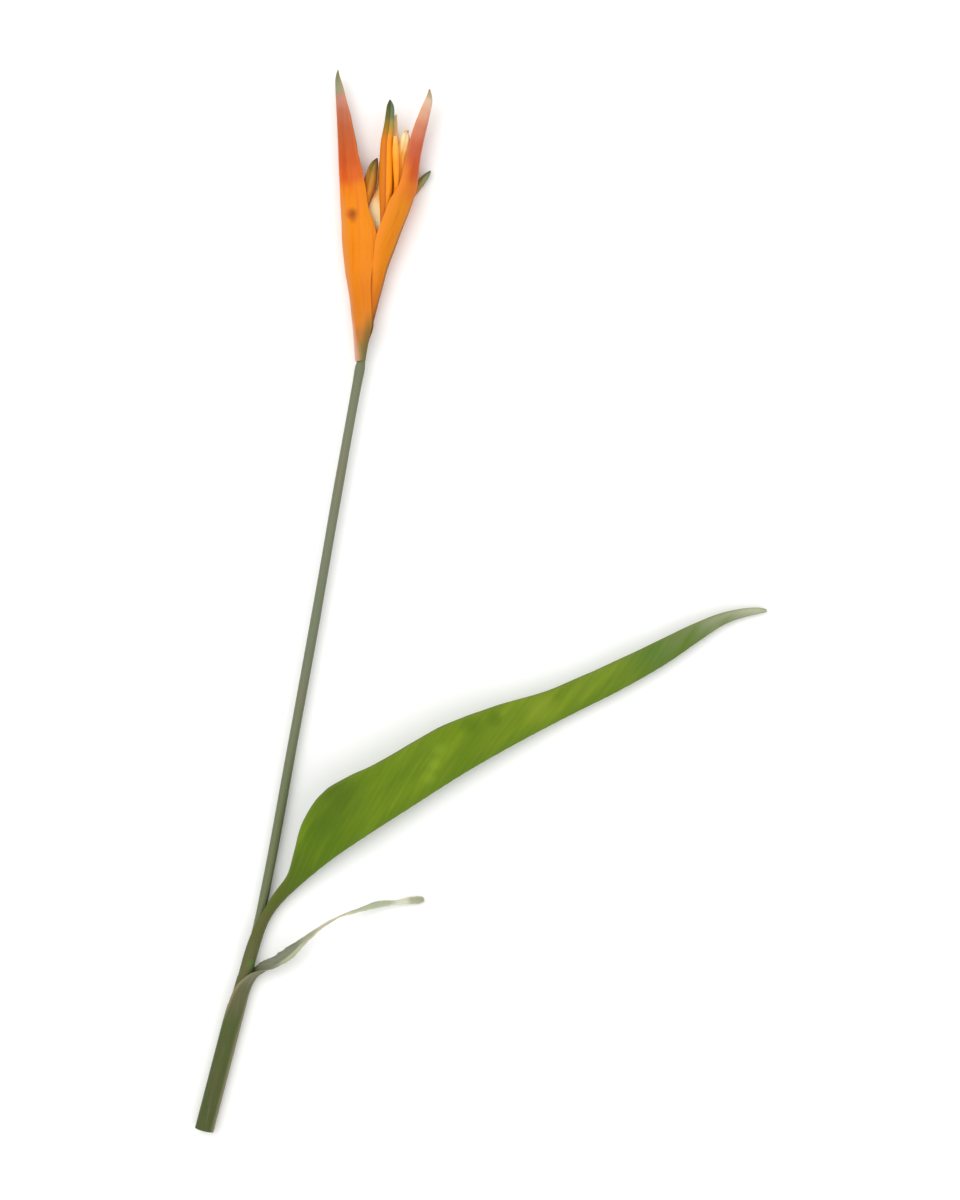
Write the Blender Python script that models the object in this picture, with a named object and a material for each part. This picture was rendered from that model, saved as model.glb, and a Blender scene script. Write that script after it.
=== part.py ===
"""A parrot heliconia flower, cut with its stem, one leaf and one withered leaf, lying on a flat surface.

For Blender 4.5. The tables are in millimetres and degrees, and the model is in metres. Z is up from
the surface, and Y runs from the cut end of the stem to the tips of the flower head. The origin is on
the surface, under the axis of the stem, 20 mm above the cut end.
"""

import math

import bmesh
import bpy
import numpy as np

MM = 0.001

# Driving dimensions: a 4 mm flower stem rolled up in two leaf sheaths, with a running gap between them.
GAP = 0.3
STEM_RADIUS = 1.9
LEAF_SHEATH_WALL = 0.65
OUTER_SHEATH_WALL = 0.7
LEAF_SHEATH_RADIUS = STEM_RADIUS + GAP + LEAF_SHEATH_WALL
OUTER_SHEATH_RADIUS = LEAF_SHEATH_RADIUS + GAP + OUTER_SHEATH_WALL

# A sheath's half section is eight flats of 20 degrees, so that one flat faces straight down.
HALF_COLUMNS = 8
FLAT_ANGLE = 20.0
SHEATH_CURL = HALF_COLUMNS * FLAT_ANGLE

# Height of the stem's axis where the outer sheath lies on the surface.
SHEATH_HEIGHT = OUTER_SHEATH_RADIUS * math.cos(math.radians(FLAT_ANGLE / 2))

# The straight foot of the stem leans to +X by this much for each millimetre of Y.
FOOT_LEAN = 0.26
CUT_Y = -20.0

# Least distance of an inner point from the middle plane of a fold.
FOLD_CLEARANCE = 0.05

# Rows of faces between two stations of a sheet or a tube, and the resolution of the stem's round section.
SHEET_STEPS = 2
TUBE_STEPS = 2
STEM_BEVEL = 3


def foot(y, aside=0.0):
    """The point of the stem's straight foot at this Y, moved aside to the right by that many millimetres."""
    length = math.hypot(1.0, FOOT_LEAN)
    return (FOOT_LEAN * y + aside / length, y - aside * FOOT_LEAN / length, SHEATH_HEIGHT)


def rolled(radius, wall):
    """Roll, keel angle, curl, half width and wall of a sheet that is rolled up to this radius."""
    flat = 2 * radius * math.sin(math.radians(FLAT_ANGLE / 2))
    return 0, 0, SHEATH_CURL, HALF_COLUMNS * flat, wall


# The stem's axis: x, y, z, radius. It swells to the first bract's foot, and ends in the thinner rachis,
# which bends to and fro between the bracts.
STEM = [
    (*foot(CUT_Y), STEM_RADIUS),
    (*foot(0.0), STEM_RADIUS),
    (*foot(30.0), STEM_RADIUS),
    (12.3, 47.0, 3.95, STEM_RADIUS),
    (16.9, 64.5, 4.1, STEM_RADIUS),
    (21.5, 86.0, 4.2, 1.95),
    (31.5, 140.0, 4.7, 2.0),
    (41.1, 192.3, 5.3, 2.0),
    (51.2, 250.0, 5.8, 1.95),
    (58.6, 291.0, 6.05, 1.95),
    (60.0, 298.5, 6.1, 2.1),
    (60.55, 301.5, 6.1, 2.3),
    (60.65, 302.0, 6.1, 1.45),
    (62.2, 311.0, 6.1, 1.25),
    (63.15, 317.0, 6.35, 1.0),
    (64.8, 325.0, 6.95, 0.95),
    (66.1, 332.5, 7.5, 0.75),
    (66.5, 335.5, 7.55, 0.65),
]

# A folded sheet's stations: x, y, z of its keel, roll, angle of each half at the keel, curl of each half
# from the keel to the margin, half width from the keel to the margin, and wall.
# The first bract has its keel on the left and lies on the surface. Near its foot it is turned up a little,
# and its upper margin lies over the second bract's. Farther on, it lies under it.
BRACT_1 = [
    (58.4, 302.5, 6.1, 0, 0, 140, 5.7, 0.5),
    (58.1, 306.5, 6.1, 0, 2, 136, 6.9, 0.5),
    (57.55, 311.5, 6.1, 1, 4, 118, 8.9, 0.55),
    (57.2, 317.0, 6.0, 3, 8, 104, 11.3, 0.6),
    (56.2, 326.2, 5.6, 6, 14, 92, 12.2, 0.65),
    (55.1, 334.3, 5.2, 8, 20, 84, 13.8, 0.7),
    (53.7, 342.5, 5.1, 5, 30, 74, 14.5, 0.75),
    (52.9, 353.3, 6.2, 0, 40, 56, 17.0, 0.75),
    (52.4, 364.2, 5.9, 0, 38, 60, 13.8, 0.75),
    (51.7, 377.0, 5.7, 0, 38, 58, 12.3, 0.7),
    (51.1, 390.0, 5.6, 0, 39, 53, 9.7, 0.7),
    (50.6, 403.7, 5.8, 0, 40, 50, 7.3, 0.65),
    (50.2, 412.7, 6.1, 0, 43, 44, 5.1, 0.6),
    (50.0, 420.3, 6.3, 0, 45, 36, 3.1, 0.55),
    (50.9, 424.5, 6.4, 0, 48, 15, 1.0, 0.3),
]

# The second bract has its keel on the right and its foot inside the first.
BRACT_2 = [
    (65.0, 316.5, 6.35, 0, 0, 130, 4.6, 0.5),
    (67.0, 323.5, 6.9, 0, 6, 118, 5.9, 0.5),
    (69.4, 332.0, 7.6, 0, 6, 112, 7.4, 0.5),
    (71.4, 339.8, 8.1, 0, 16, 84, 7.5, 0.6),
    (75.7, 351.7, 9.2, 0, 14, 94, 11.4, 0.6),
    (80.6, 364.2, 9.6, 0, 18, 86, 11.6, 0.65),
    (83.9, 374.5, 9.9, 0, 24, 75, 9.2, 0.65),
    (85.4, 385.5, 10.2, 0, 30, 65, 7.8, 0.65),
    (87.5, 396.5, 10.5, 0, 35, 60, 6.6, 0.6),
    (89.5, 405.0, 10.8, 0, 40, 50, 5.4, 0.6),
    (90.6, 411.5, 11.1, 0, 42, 45, 3.9, 0.55),
    (89.6, 416.0, 11.3, 0, 45, 15, 1.0, 0.3),
]

# The third bract is young and still folded flat. It lies behind the flowers of the second, and shows on both
# sides of the tallest one.
BRACT_3 = [
    (64.2, 331.5, 7.45, 0, 10, 90, 3.2, 0.5),
    (64.8, 337.0, 7.5, 0, 12, 88, 3.1, 0.5),
    (64.9, 345.0, 7.2, 0, 36, 54, 4.2, 0.5),
    (64.3, 356.0, 6.4, 8, 76, 8, 6.4, 0.55),
    (63.8, 366.0, 5.5, 12, 80, 5, 8.0, 0.6),
    (65.0, 370.5, 5.0, 13, 80, 5, 8.6, 0.6),
    (67.6, 376.5, 4.9, 13, 80, 5, 7.0, 0.6),
    (68.1, 384.0, 6.0, 10, 80, 5, 6.6, 0.6),
    (68.9, 389.0, 6.6, 6, 80, 5, 6.8, 0.6),
    (70.0, 394.5, 6.6, 3, 79, 5, 7.8, 0.6),
    (71.8, 399.5, 6.7, 0, 74, 8, 5.3, 0.55),
    (75.2, 406.0, 7.0, 0, 55, 15, 0.9, 0.3),
]

# The leaf: its sheath round the stem, the sheath's mouth, the short stalk, the blade, and the long tail.
LEAF = [
    (*foot(CUT_Y, LEAF_SHEATH_RADIUS), *rolled(LEAF_SHEATH_RADIUS, LEAF_SHEATH_WALL)),
    (*foot(10.0, LEAF_SHEATH_RADIUS), *rolled(LEAF_SHEATH_RADIUS, LEAF_SHEATH_WALL)),
    (14.8, 45.3, 3.95, *rolled(LEAF_SHEATH_RADIUS, LEAF_SHEATH_WALL)),
    (17.8, 56.0, 4.0, 0, 1, 130, 7.4, 0.65),
    (20.3, 64.0, 4.1, 0, 3, 100, 6.5, 0.7),
    (23.6, 70.8, 4.3, 0, 10, 80, 5.8, 0.8),
    (28.4, 77.0, 5.2, 0, 24, 66, 6.4, 0.9),
    (34.3, 82.6, 6.2, 0, 40, 32, 8.0, 0.9),
    (41.5, 88.8, 7.8, 0, 57, 14, 14.0, 0.8),
    (50.0, 95.4, 9.4, 0, 64, 8, 22.4, 0.75),
    (60.5, 102.6, 10.4, 0, 66, 5, 27.5, 0.75),
    (81.6, 116.1, 9.6, 0, 66, 5, 24.8, 0.75),
    (103.7, 130.1, 9.0, 0, 66, 5, 23.6, 0.75),
    (125.6, 142.5, 7.6, 0, 65, 6, 19.6, 0.75),
    (147.7, 154.0, 5.7, 0, 64, 8, 14.4, 0.7),
    (169.7, 165.0, 5.0, 0, 62, 10, 13.2, 0.7),
    (188.7, 175.9, 4.6, 0, 60, 12, 11.4, 0.7),
    (203.4, 186.0, 3.8, 0, 57, 14, 8.6, 0.7),
    (213.7, 192.6, 3.0, 0, 52, 18, 6.0, 0.65),
    (222.3, 195.6, 2.3, 0, 50, 20, 4.5, 0.6),
    (228.5, 197.0, 2.0, 0, 50, 20, 3.3, 0.55),
    (231.0, 197.6, 1.7, 0, 50, 20, 1.7, 0.45),
]
# The upper margin of the blade is waved between these values of its keel's Y.
LEAF_WAVE = {"height": 1.3, "length": 34.0, "from_y": 88.0, "to_y": 186.0}

# The withered leaf: the outermost sheath, its mouth, and a narrow blade that has dried into a twisted strip.
WITHERED_LEAF = [
    (*foot(CUT_Y, OUTER_SHEATH_RADIUS), *rolled(OUTER_SHEATH_RADIUS, OUTER_SHEATH_WALL)),
    (*foot(12.0, OUTER_SHEATH_RADIUS), *rolled(OUTER_SHEATH_RADIUS, OUTER_SHEATH_WALL)),
    (*foot(30.0, OUTER_SHEATH_RADIUS), *rolled(OUTER_SHEATH_RADIUS, OUTER_SHEATH_WALL)),
    (14.0, 38.5, 3.9, 0, 1, 125, 8.5, 0.7),
    (16.3, 43.3, 4.1, 0, 4, 84, 5.8, 0.7),
    (19.8, 46.7, 4.8, 25, 8, 70, 4.2, 0.7),
    (25.4, 50.2, 5.7, 60, 10, 55, 3.5, 0.65),
    (31.3, 55.0, 6.8, 80, 12, 45, 3.2, 0.6),
    (37.0, 60.6, 7.5, 110, 12, 45, 1.9, 0.6),
    (45.7, 67.3, 7.9, 150, 12, 45, 1.3, 0.6),
    (53.3, 71.0, 7.3, 185, 12, 45, 1.3, 0.6),
    (61.0, 73.4, 6.1, 220, 12, 40, 1.5, 0.6),
    (68.6, 75.2, 4.6, 250, 12, 35, 1.6, 0.6),
    (75.5, 75.9, 3.4, 225, 12, 30, 1.2, 0.6),
    (80.6, 76.3, 2.7, 255, 12, 25, 1.7, 0.6),
    (85.4, 76.6, 2.3, 262, 12, 20, 1.7, 0.6),
    (86.9, 76.8, 2.2, 262, 12, 20, 1.0, 0.6),
]

# A flower's stations: x, y, z, radius. A thin stalk, a swollen ovary, then the long three-cornered
# tube of the petals, which ends in a blunt point. The first two are in the first bract: one curves up
# inside it, and one passes under the second bract and shows its tip on the right.
FLOWER_1 = [
    (61.4, 313.5, 7.9, 0.55),
    (60.4, 320.0, 8.2, 0.6),
    (59.8, 330.0, 8.3, 0.75),
    (59.6, 337.0, 7.9, 1.8),
    (59.6, 342.0, 7.6, 1.7),
    (60.0, 352.0, 7.6, 2.0),
    (61.1, 365.0, 6.9, 2.2),
    (62.3, 370.5, 6.6, 2.3),
    (64.4, 376.5, 6.6, 2.65),
    (66.0, 383.8, 7.3, 1.9),
    (67.4, 387.6, 7.7, 0.7),
]
FLOWER_2 = [
    (63.3, 313.0, 4.1, 0.5),
    (63.9, 320.0, 3.2, 0.5),
    (65.0, 328.0, 3.2, 0.55),
    (66.3, 336.0, 2.9, 0.65),
    (67.8, 343.5, 2.4, 0.8),
    (69.3, 349.0, 2.1, 1.6),
    (70.8, 353.5, 2.1, 1.5),
    (74.3, 361.5, 2.2, 1.9),
    (79.0, 370.0, 2.4, 2.05),
    (83.0, 374.8, 2.8, 1.95),
    (86.6, 378.9, 3.3, 1.5),
    (89.8, 382.7, 3.7, 0.6),
]
# The tallest flower and the open one are in the second bract.
FLOWER_3 = [
    (67.3, 331.0, 8.2, 0.45),
    (68.5, 338.0, 8.8, 0.45),
    (69.1, 344.5, 10.2, 0.6),
    (69.8, 350.5, 10.8, 0.9),
    (70.2, 355.0, 11.0, 1.7),
    (70.5, 360.0, 11.0, 1.7),
    (71.1, 371.0, 11.0, 2.55),
    (71.3, 382.0, 11.1, 2.75),
    (71.5, 392.0, 11.3, 2.5),
    (72.7, 402.0, 11.6, 1.95),
    (73.1, 408.0, 11.8, 1.6),
    (72.9, 411.5, 11.9, 0.7),
]
FLOWER_4 = [
    (67.4, 331.0, 6.6, 0.45),
    (68.8, 337.5, 7.1, 0.45),
    (70.4, 344.5, 8.3, 0.55),
    (72.2, 350.0, 9.3, 0.75),
    (73.4, 355.0, 9.6, 0.9),
    (74.4, 359.5, 9.6, 1.5),
    (75.2, 364.0, 9.8, 1.45),
    (76.3, 371.0, 10.2, 2.1),
    (76.9, 378.0, 10.4, 2.4),
    (77.2, 387.0, 10.5, 2.55),
    (78.6, 392.5, 10.6, 2.3),
    (79.3, 396.3, 10.7, 1.7),
    (79.7, 398.0, 10.8, 1.0),
]
# The free sepal of the open flower, bent back from its tip.
FREE_SEPAL = [
    (75.2, 373.0, 10.6, 0, 15, 60, 1.4, 0.6),
    (74.2, 382.0, 12.8, -20, 15, 60, 2.8, 0.6),
    (74.0, 390.0, 13.8, -25, 20, 60, 3.0, 0.6),
    (74.6, 396.0, 14.5, -25, 20, 40, 1.5, 0.4),
]

# A flower's sides, and its three corners: their depth as a share of the radius, and the shares of the
# flower's rows over which they grow from nothing to that depth.
FLOWER_SIDES = 9
CORNERS = 3
CORNER_DEPTH = 0.09
CORNERS_FROM = 0.25
CORNERS_TO = 0.75

# Colours: linear red, green, blue, and roughness.
PAINTS = {
    "stem": ((0.085, 0.13, 0.045), 0.5),
    "bract": ((0.86, 0.19, 0.022), 0.42),
    "flower": ((0.93, 0.33, 0.03), 0.4),
    "leaf": ((0.11, 0.26, 0.018), 0.45),
    "withered_leaf": ((0.22, 0.2, 0.1), 0.7),
}


def clear_scene():
    for thing in list(bpy.data.objects):
        bpy.data.objects.remove(thing, do_unlink=True)


def collection(name):
    made = bpy.data.collections.new(name)
    bpy.context.scene.collection.children.link(made)
    return made


def paint(name):
    colour, roughness = PAINTS[name]
    material = bpy.data.materials.get(name) or bpy.data.materials.new(name)
    material.use_nodes = True
    shader = material.node_tree.nodes["Principled BSDF"]
    shader.inputs["Base Color"].default_value = (*colour, 1.0)
    shader.inputs["Roughness"].default_value = roughness
    shader.inputs["Metallic"].default_value = 0.0
    return material


def smooth_rows(stations, steps):
    """Rows on a smooth curve that overshoots no station, with so many steps between two stations."""
    table = np.array(stations, float)
    gaps = np.linalg.norm(np.diff(table[:, :3], axis=0), axis=1)[:, None]
    slopes = np.diff(table, axis=0) / gaps
    tangents = np.zeros_like(table)
    tangents[0], tangents[-1] = slopes[0], slopes[-1]
    before, after = slopes[:-1], slopes[1:]
    agree = before * after > 0
    near, far = 2 * gaps[1:] + gaps[:-1], gaps[1:] + 2 * gaps[:-1]
    safe_before, safe_after = np.where(agree, before, 1.0), np.where(agree, after, 1.0)
    tangents[1:-1] = np.where(agree, (near + far) / (near / safe_before + far / safe_after), 0.0)
    rows = []
    for i, gap in enumerate(gaps[:, 0]):
        for k in range(steps):
            t = k / steps
            rows.append(
                (1 + 2 * t) * (1 - t) ** 2 * table[i]
                + t * (1 - t) ** 2 * gap * tangents[i]
                + t * t * (3 - 2 * t) * table[i + 1]
                + t * t * (t - 1) * gap * tangents[i + 1]
            )
    rows.append(table[-1])
    return np.array(rows)


def directions(path):
    """Unit tangents along a path of points."""
    along = np.gradient(path, axis=0)
    return along / np.linalg.norm(along, axis=1)[:, None]


def half_section(open_angle, curl, half_width, wall, columns):
    """(inward, rise) of one half's outer and inner face from the keel to the margin, in equal flats.

    Near the keel of a sharp fold, the inner points are drawn back onto this half's side of it.
    """
    angles = [math.radians(open_angle + curl * (k + 0.5) / columns) for k in range(columns)]
    step = half_width / columns
    outer = [np.zeros(2)]
    for angle in angles:
        outer.append(outer[-1] + step * np.array([math.sin(angle), math.cos(angle)]))
    inner = [np.array([wall / math.cos(angles[0]), 0.0])]
    for k in range(1, columns + 1):
        before, after = angles[k - 1], angles[min(k, columns - 1)]
        mean = (before + after) / 2
        reach = wall / math.cos((after - before) / 2)
        inner.append(outer[k] + reach * np.array([math.cos(mean), -math.sin(mean)]))
    clear = next(k for k in range(1, columns + 1) if inner[k][1] > FOLD_CLEARANCE)
    for k in range(1, clear):
        inner[k] = inner[0] + (inner[clear] - inner[0]) * k / clear
    return outer, inner


def both_halves(half):
    """A whole face from the lower margin over the keel to the upper margin."""
    return [(inward, -rise) for inward, rise in half[:0:-1]] + [(inward, rise) for inward, rise in half]


def sheet_grids(stations, columns, keel_side, wave):
    """The outer and the inner face of a folded sheet, as rows of points from margin to margin."""
    rows = smooth_rows(stations, SHEET_STEPS)
    grids = ([], [])
    for row, tangent in zip(rows, directions(rows[:, :3])):
        keel, (roll, open_angle, curl, half_width, wall) = row[:3], row[3:]
        side = keel_side * np.cross(tangent, (0.0, 0.0, 1.0))
        side /= np.linalg.norm(side)
        up = keel_side * np.cross(side, tangent)
        turn = math.radians(roll)
        outward = math.cos(turn) * side - math.sin(turn) * up
        across = math.cos(turn) * up + math.sin(turn) * side
        lift = wave_heights(keel, columns, wave)
        lines = []
        for half in half_section(open_angle, curl, half_width, wall, columns):
            line = np.array([keel - inward * outward + rise * across for inward, rise in both_halves(half)])
            line[:, 2] += lift
            lines.append(line)
        sunk = max(0.0, -min(line[:, 2].min() for line in lines))
        for grid, line in zip(grids, lines):
            line[:, 2] += sunk
            grid.append(line)
    return grids


def wave_heights(keel, columns, wave):
    """How far each point of a row is lifted where the upper margin of the blade is waved."""
    if not wave or not wave["from_y"] < keel[1] < wave["to_y"]:
        return np.zeros(2 * columns + 1)
    fade = math.sin(math.pi * (keel[1] - wave["from_y"]) / (wave["to_y"] - wave["from_y"])) ** 0.5
    phase = math.sin(2 * math.pi * math.hypot(keel[0], keel[1]) / wave["length"])
    out = np.clip(np.linspace(-1.0, 1.0, 2 * columns + 1), 0.0, 1.0)
    return wave["height"] * fade * phase * out**2


def sheet(name, stations, material, keel_side, columns=HALF_COLUMNS, wave=None):
    """A folded sheet with a wall: its two faces are lofted and split alike, and closed along the edges."""
    shape = bmesh.new()
    outer, inner = (
        [[shape.verts.new(point * MM) for point in line] for line in grid]
        for grid in sheet_grids(stations, columns, keel_side, wave)
    )
    for grid in (outer, inner):
        for low, high in zip(grid, grid[1:]):
            for j in range(2 * columns):
                shape.faces.new((low[j], low[j + 1], high[j + 1]))
                shape.faces.new((low[j], high[j + 1], high[j]))
    for margin in (0, -1):
        for i in range(len(outer) - 1):
            shape.faces.new((outer[i][margin], outer[i + 1][margin], inner[i + 1][margin]))
            shape.faces.new((outer[i][margin], inner[i + 1][margin], inner[i][margin]))
    for end in (0, -1):
        for j in range(2 * columns):
            shape.faces.new((outer[end][j], outer[end][j + 1], inner[end][j + 1], inner[end][j]))
    bmesh.ops.recalc_face_normals(shape, faces=shape.faces)
    return finish_mesh(name, shape, material)


def finish_mesh(name, shape, material):
    mesh = bpy.data.meshes.new(name)
    shape.to_mesh(mesh)
    shape.free()
    mesh.materials.append(paint(material))
    mesh.shade_smooth()
    made = bpy.data.objects.new(name, mesh)
    PARTS.objects.link(made)
    return made


def stem():
    """The bare stem and the rachis, one round rod."""
    rows = smooth_rows(STEM, TUBE_STEPS)
    curve = bpy.data.curves.new("flower_stem", "CURVE")
    curve.dimensions = "3D"
    curve.bevel_depth = STEM_RADIUS * MM
    curve.bevel_resolution = STEM_BEVEL
    curve.use_fill_caps = True
    spline = curve.splines.new("POLY")
    spline.points.add(len(rows) - 1)
    for point, (x, y, z, radius) in zip(spline.points, rows):
        point.co = (x * MM, y * MM, z * MM, 1.0)
        point.radius = radius / STEM_RADIUS
    curve.materials.append(paint("stem"))
    made = bpy.data.objects.new("flower_stem", curve)
    PARTS.objects.link(made)
    return made


def flower(name, stations):
    """One flower: rings along its line, round at the stalk and three-cornered along the petals."""
    rows = smooth_rows(stations, TUBE_STEPS)
    tangents = directions(rows[:, :3])
    shape = bmesh.new()
    rings = []
    for i, (row, tangent) in enumerate(zip(rows, tangents)):
        side = np.cross(tangent, (0.0, 0.0, 1.0))
        side /= np.linalg.norm(side)
        up = np.cross(side, tangent)
        grown = (i / (len(rows) - 1) - CORNERS_FROM) / (CORNERS_TO - CORNERS_FROM)
        depth = CORNER_DEPTH * min(1.0, max(0.0, grown))
        ring = []
        for k in range(FLOWER_SIDES):
            angle = 2 * math.pi * k / FLOWER_SIDES
            reach = row[3] * (1 + depth * math.cos(CORNERS * angle))
            point = row[:3] + reach * (math.cos(angle) * up + math.sin(angle) * side)
            ring.append(shape.verts.new(point * MM))
        rings.append(ring)
    for low, high in zip(rings, rings[1:]):
        for k in range(FLOWER_SIDES):
            after = (k + 1) % FLOWER_SIDES
            shape.faces.new((low[k], low[after], high[after], high[k]))
    shape.faces.new(rings[0][::-1])
    shape.faces.new(rings[-1])
    bmesh.ops.recalc_face_normals(shape, faces=shape.faces)
    return finish_mesh(name, shape, "flower")


def open_flower(name, stations, sepal_stations):
    """A flower with one sepal bent back, joined to it in one solid."""
    made = flower(name, stations)
    sepal = sheet("free_sepal", sepal_stations, "flower", keel_side=-1, columns=3)
    bpy.context.view_layer.update()
    join = made.modifiers.new("free sepal", "BOOLEAN")
    join.operation = "UNION"
    join.object = sepal
    joined = bpy.data.meshes.new_from_object(made.evaluated_get(bpy.context.evaluated_depsgraph_get()))
    made.modifiers.clear()
    made.data = joined
    bpy.data.objects.remove(sepal, do_unlink=True)
    return made


clear_scene()
PARTS = collection("heliconia_flower")
stem()
sheet("bract_1", BRACT_1, "bract", keel_side=-1, columns=6)
sheet("bract_2", BRACT_2, "bract", keel_side=1, columns=6)
sheet("bract_3", BRACT_3, "bract", keel_side=-1, columns=4)
flower("flower_1", FLOWER_1)
flower("flower_2", FLOWER_2)
flower("flower_3", FLOWER_3)
open_flower("flower_4", FLOWER_4, FREE_SEPAL)
sheet("leaf", LEAF, "leaf", keel_side=1, wave=LEAF_WAVE)
sheet("withered_leaf", WITHERED_LEAF, "withered_leaf", keel_side=1)
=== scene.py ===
"""The looks of a cut parrot heliconia flower that lies on a pale floor, seen from above.

The tables are in millimetres and degrees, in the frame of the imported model: Z is up from the floor, and Y
runs from the cut end of the stem to the tips of the flower head. Each node is replaced by finer pieces on
the same lines. A piece's surface keeps where it is on the plant in named numbers, which its material reads.
"""

import math

import bpy
import numpy as np
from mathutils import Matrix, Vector


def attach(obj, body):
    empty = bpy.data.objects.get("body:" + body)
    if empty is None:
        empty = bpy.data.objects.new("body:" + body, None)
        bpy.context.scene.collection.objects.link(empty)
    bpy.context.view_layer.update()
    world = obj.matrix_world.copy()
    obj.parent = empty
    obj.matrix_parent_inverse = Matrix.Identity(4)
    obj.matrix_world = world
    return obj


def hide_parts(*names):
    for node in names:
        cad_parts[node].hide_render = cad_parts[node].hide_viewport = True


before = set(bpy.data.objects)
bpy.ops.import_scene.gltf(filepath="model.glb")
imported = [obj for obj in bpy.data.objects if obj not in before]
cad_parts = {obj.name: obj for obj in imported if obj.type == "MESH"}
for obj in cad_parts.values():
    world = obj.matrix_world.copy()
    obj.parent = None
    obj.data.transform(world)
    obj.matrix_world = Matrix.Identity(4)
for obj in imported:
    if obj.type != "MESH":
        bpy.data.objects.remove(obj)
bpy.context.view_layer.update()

MM = 0.001
BODY = "root"

# The camera looks straight down, with the head at the top of the picture.
VIEW_CENTRE = (110.5, 202.5)
VIEW_LENGTH = 505.0
LENS = 110.0
SENSOR = 36.0

# The least height of a point above the floor.
LEAST_HEIGHT = 0.02

# Driving dimensions, as in the solids: a stem rolled up in two sheaths. SHEATH_CURL is how far a sheath
# reaches round to each side, FLAT_ANGLE the part of the outer one that lies flat on the floor, and FOOT_LEAN
# how far the foot runs to the right with each millimetre of Y.
GAP = 0.3
STEM_RADIUS = 1.9
LEAF_SHEATH_WALL = 0.65
OUTER_SHEATH_WALL = 0.7
LEAF_SHEATH_RADIUS = STEM_RADIUS + GAP + LEAF_SHEATH_WALL
OUTER_SHEATH_RADIUS = LEAF_SHEATH_RADIUS + GAP + OUTER_SHEATH_WALL
SHEATH_CURL = 160.0
FLAT_ANGLE = 20.0
SHEATH_HEIGHT = OUTER_SHEATH_RADIUS * math.cos(math.radians(FLAT_ANGLE / 2))
FOOT_LEAN = 0.26
CUT_Y = -20.0

# The leaf's side veins: how much farther along the leaf they are for each millimetre towards the margin,
# and their spacing.
VEIN_SLANT = 1.9
VEIN_SPACING = 5.2

# Where the upper margins of the first two bracts cross, as distances along the first and the second, over
# what length they reach out for each other there, and the share by which a bract's margins wander.
FIRST_CROSSING = 40.5
SECOND_CROSSING = 26.5
CROSSING_LENGTH = 5.0
MARGIN_WANDER = 0.02

# How far the blade's upper margin hangs below its station line.
MARGIN_DROP = 0.65

# A rolled sheath's margins lap: how far the upper one stands out, how far the lower one is tucked in, and
# the shares of a half's width where that starts and over which it grows.
LAP_OUT = 0.22
LAP_IN = 0.3
LAP_START = 0.72
LAP_RISE = 0.2

# The least distance of a folded sheet's inner faces from the middle of its fold, and the width over which it
# is reached.
FOLD_GAP = 0.06
FOLD_GAP_REACH = 0.5

# Edges between faces that turn by more than this are sharp.
SHARP_ANGLE = math.radians(55.0)


def foot(y, aside=0.0):
    """The point of the stem's straight foot at this Y, moved aside to the right by that many millimetres."""
    length = math.hypot(1.0, FOOT_LEAN)
    return (FOOT_LEAN * y + aside / length, y - aside * FOOT_LEAN / length, SHEATH_HEIGHT)


def rolled(radius, wall):
    """Roll, keel angle, curl, half width and wall of a sheet that is rolled up to this radius."""
    return 0, 0, SHEATH_CURL, radius * math.radians(SHEATH_CURL), wall


LEAF_ROLL = rolled(LEAF_SHEATH_RADIUS, LEAF_SHEATH_WALL)
OUTER_ROLL = rolled(OUTER_SHEATH_RADIUS, OUTER_SHEATH_WALL)

# The stem's axis: x, y, z, radius.
STEM = [
    (*foot(CUT_Y), STEM_RADIUS),
    (*foot(0.0), STEM_RADIUS),
    (*foot(30.0), STEM_RADIUS),
    (12.3, 47.0, 3.95, STEM_RADIUS),
    (16.9, 64.5, 4.1, STEM_RADIUS),
    (21.5, 86.0, 4.2, 1.95),
    (31.5, 140.0, 4.7, 2.0),
    (41.1, 192.3, 5.3, 2.0),
    (51.2, 250.0, 5.8, 1.95),
    (58.6, 291.0, 6.05, 1.95),
    (60.0, 298.5, 6.1, 2.1),
    (60.55, 301.5, 6.1, 2.3),
    (60.65, 302.0, 6.1, 1.45),
    (62.2, 311.0, 6.1, 1.25),
    (63.15, 317.0, 6.35, 1.0),
    (64.8, 325.0, 6.95, 0.95),
    (66.1, 332.5, 7.5, 0.75),
    (66.5, 335.5, 7.55, 0.65),
]

# A folded sheet's stations: x, y, z of its keel, roll, angle of each half at the keel, curl of each half
# from the keel to the margin, half width from the keel to the margin, and wall.
BRACT_1 = [
    (58.4, 302.5, 6.1, 0, 0, 140, 5.7, 0.5),
    (58.1, 306.5, 6.1, 0, 2, 136, 6.9, 0.5),
    (57.55, 311.5, 6.1, 1, 4, 118, 8.9, 0.55),
    (57.2, 317.0, 6.0, 3, 8, 104, 11.3, 0.6),
    (56.2, 326.2, 5.6, 6, 14, 92, 12.2, 0.65),
    (55.1, 334.3, 5.2, 8, 20, 84, 13.8, 0.7),
    (53.7, 342.5, 5.1, 5, 30, 74, 14.5, 0.75),
    (52.9, 353.3, 6.2, 0, 40, 56, 17.0, 0.75),
    (52.4, 364.2, 5.9, 0, 38, 60, 13.8, 0.75),
    (51.7, 377.0, 5.7, 0, 38, 58, 12.3, 0.7),
    (51.1, 390.0, 5.6, 0, 39, 53, 9.7, 0.7),
    (50.6, 403.7, 5.8, 0, 40, 50, 7.3, 0.65),
    (50.2, 412.7, 6.1, 0, 43, 44, 5.1, 0.6),
    (50.0, 420.3, 6.3, 0, 45, 36, 3.1, 0.55),
    (50.9, 424.5, 6.4, 0, 48, 15, 1.0, 0.3),
]
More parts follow.
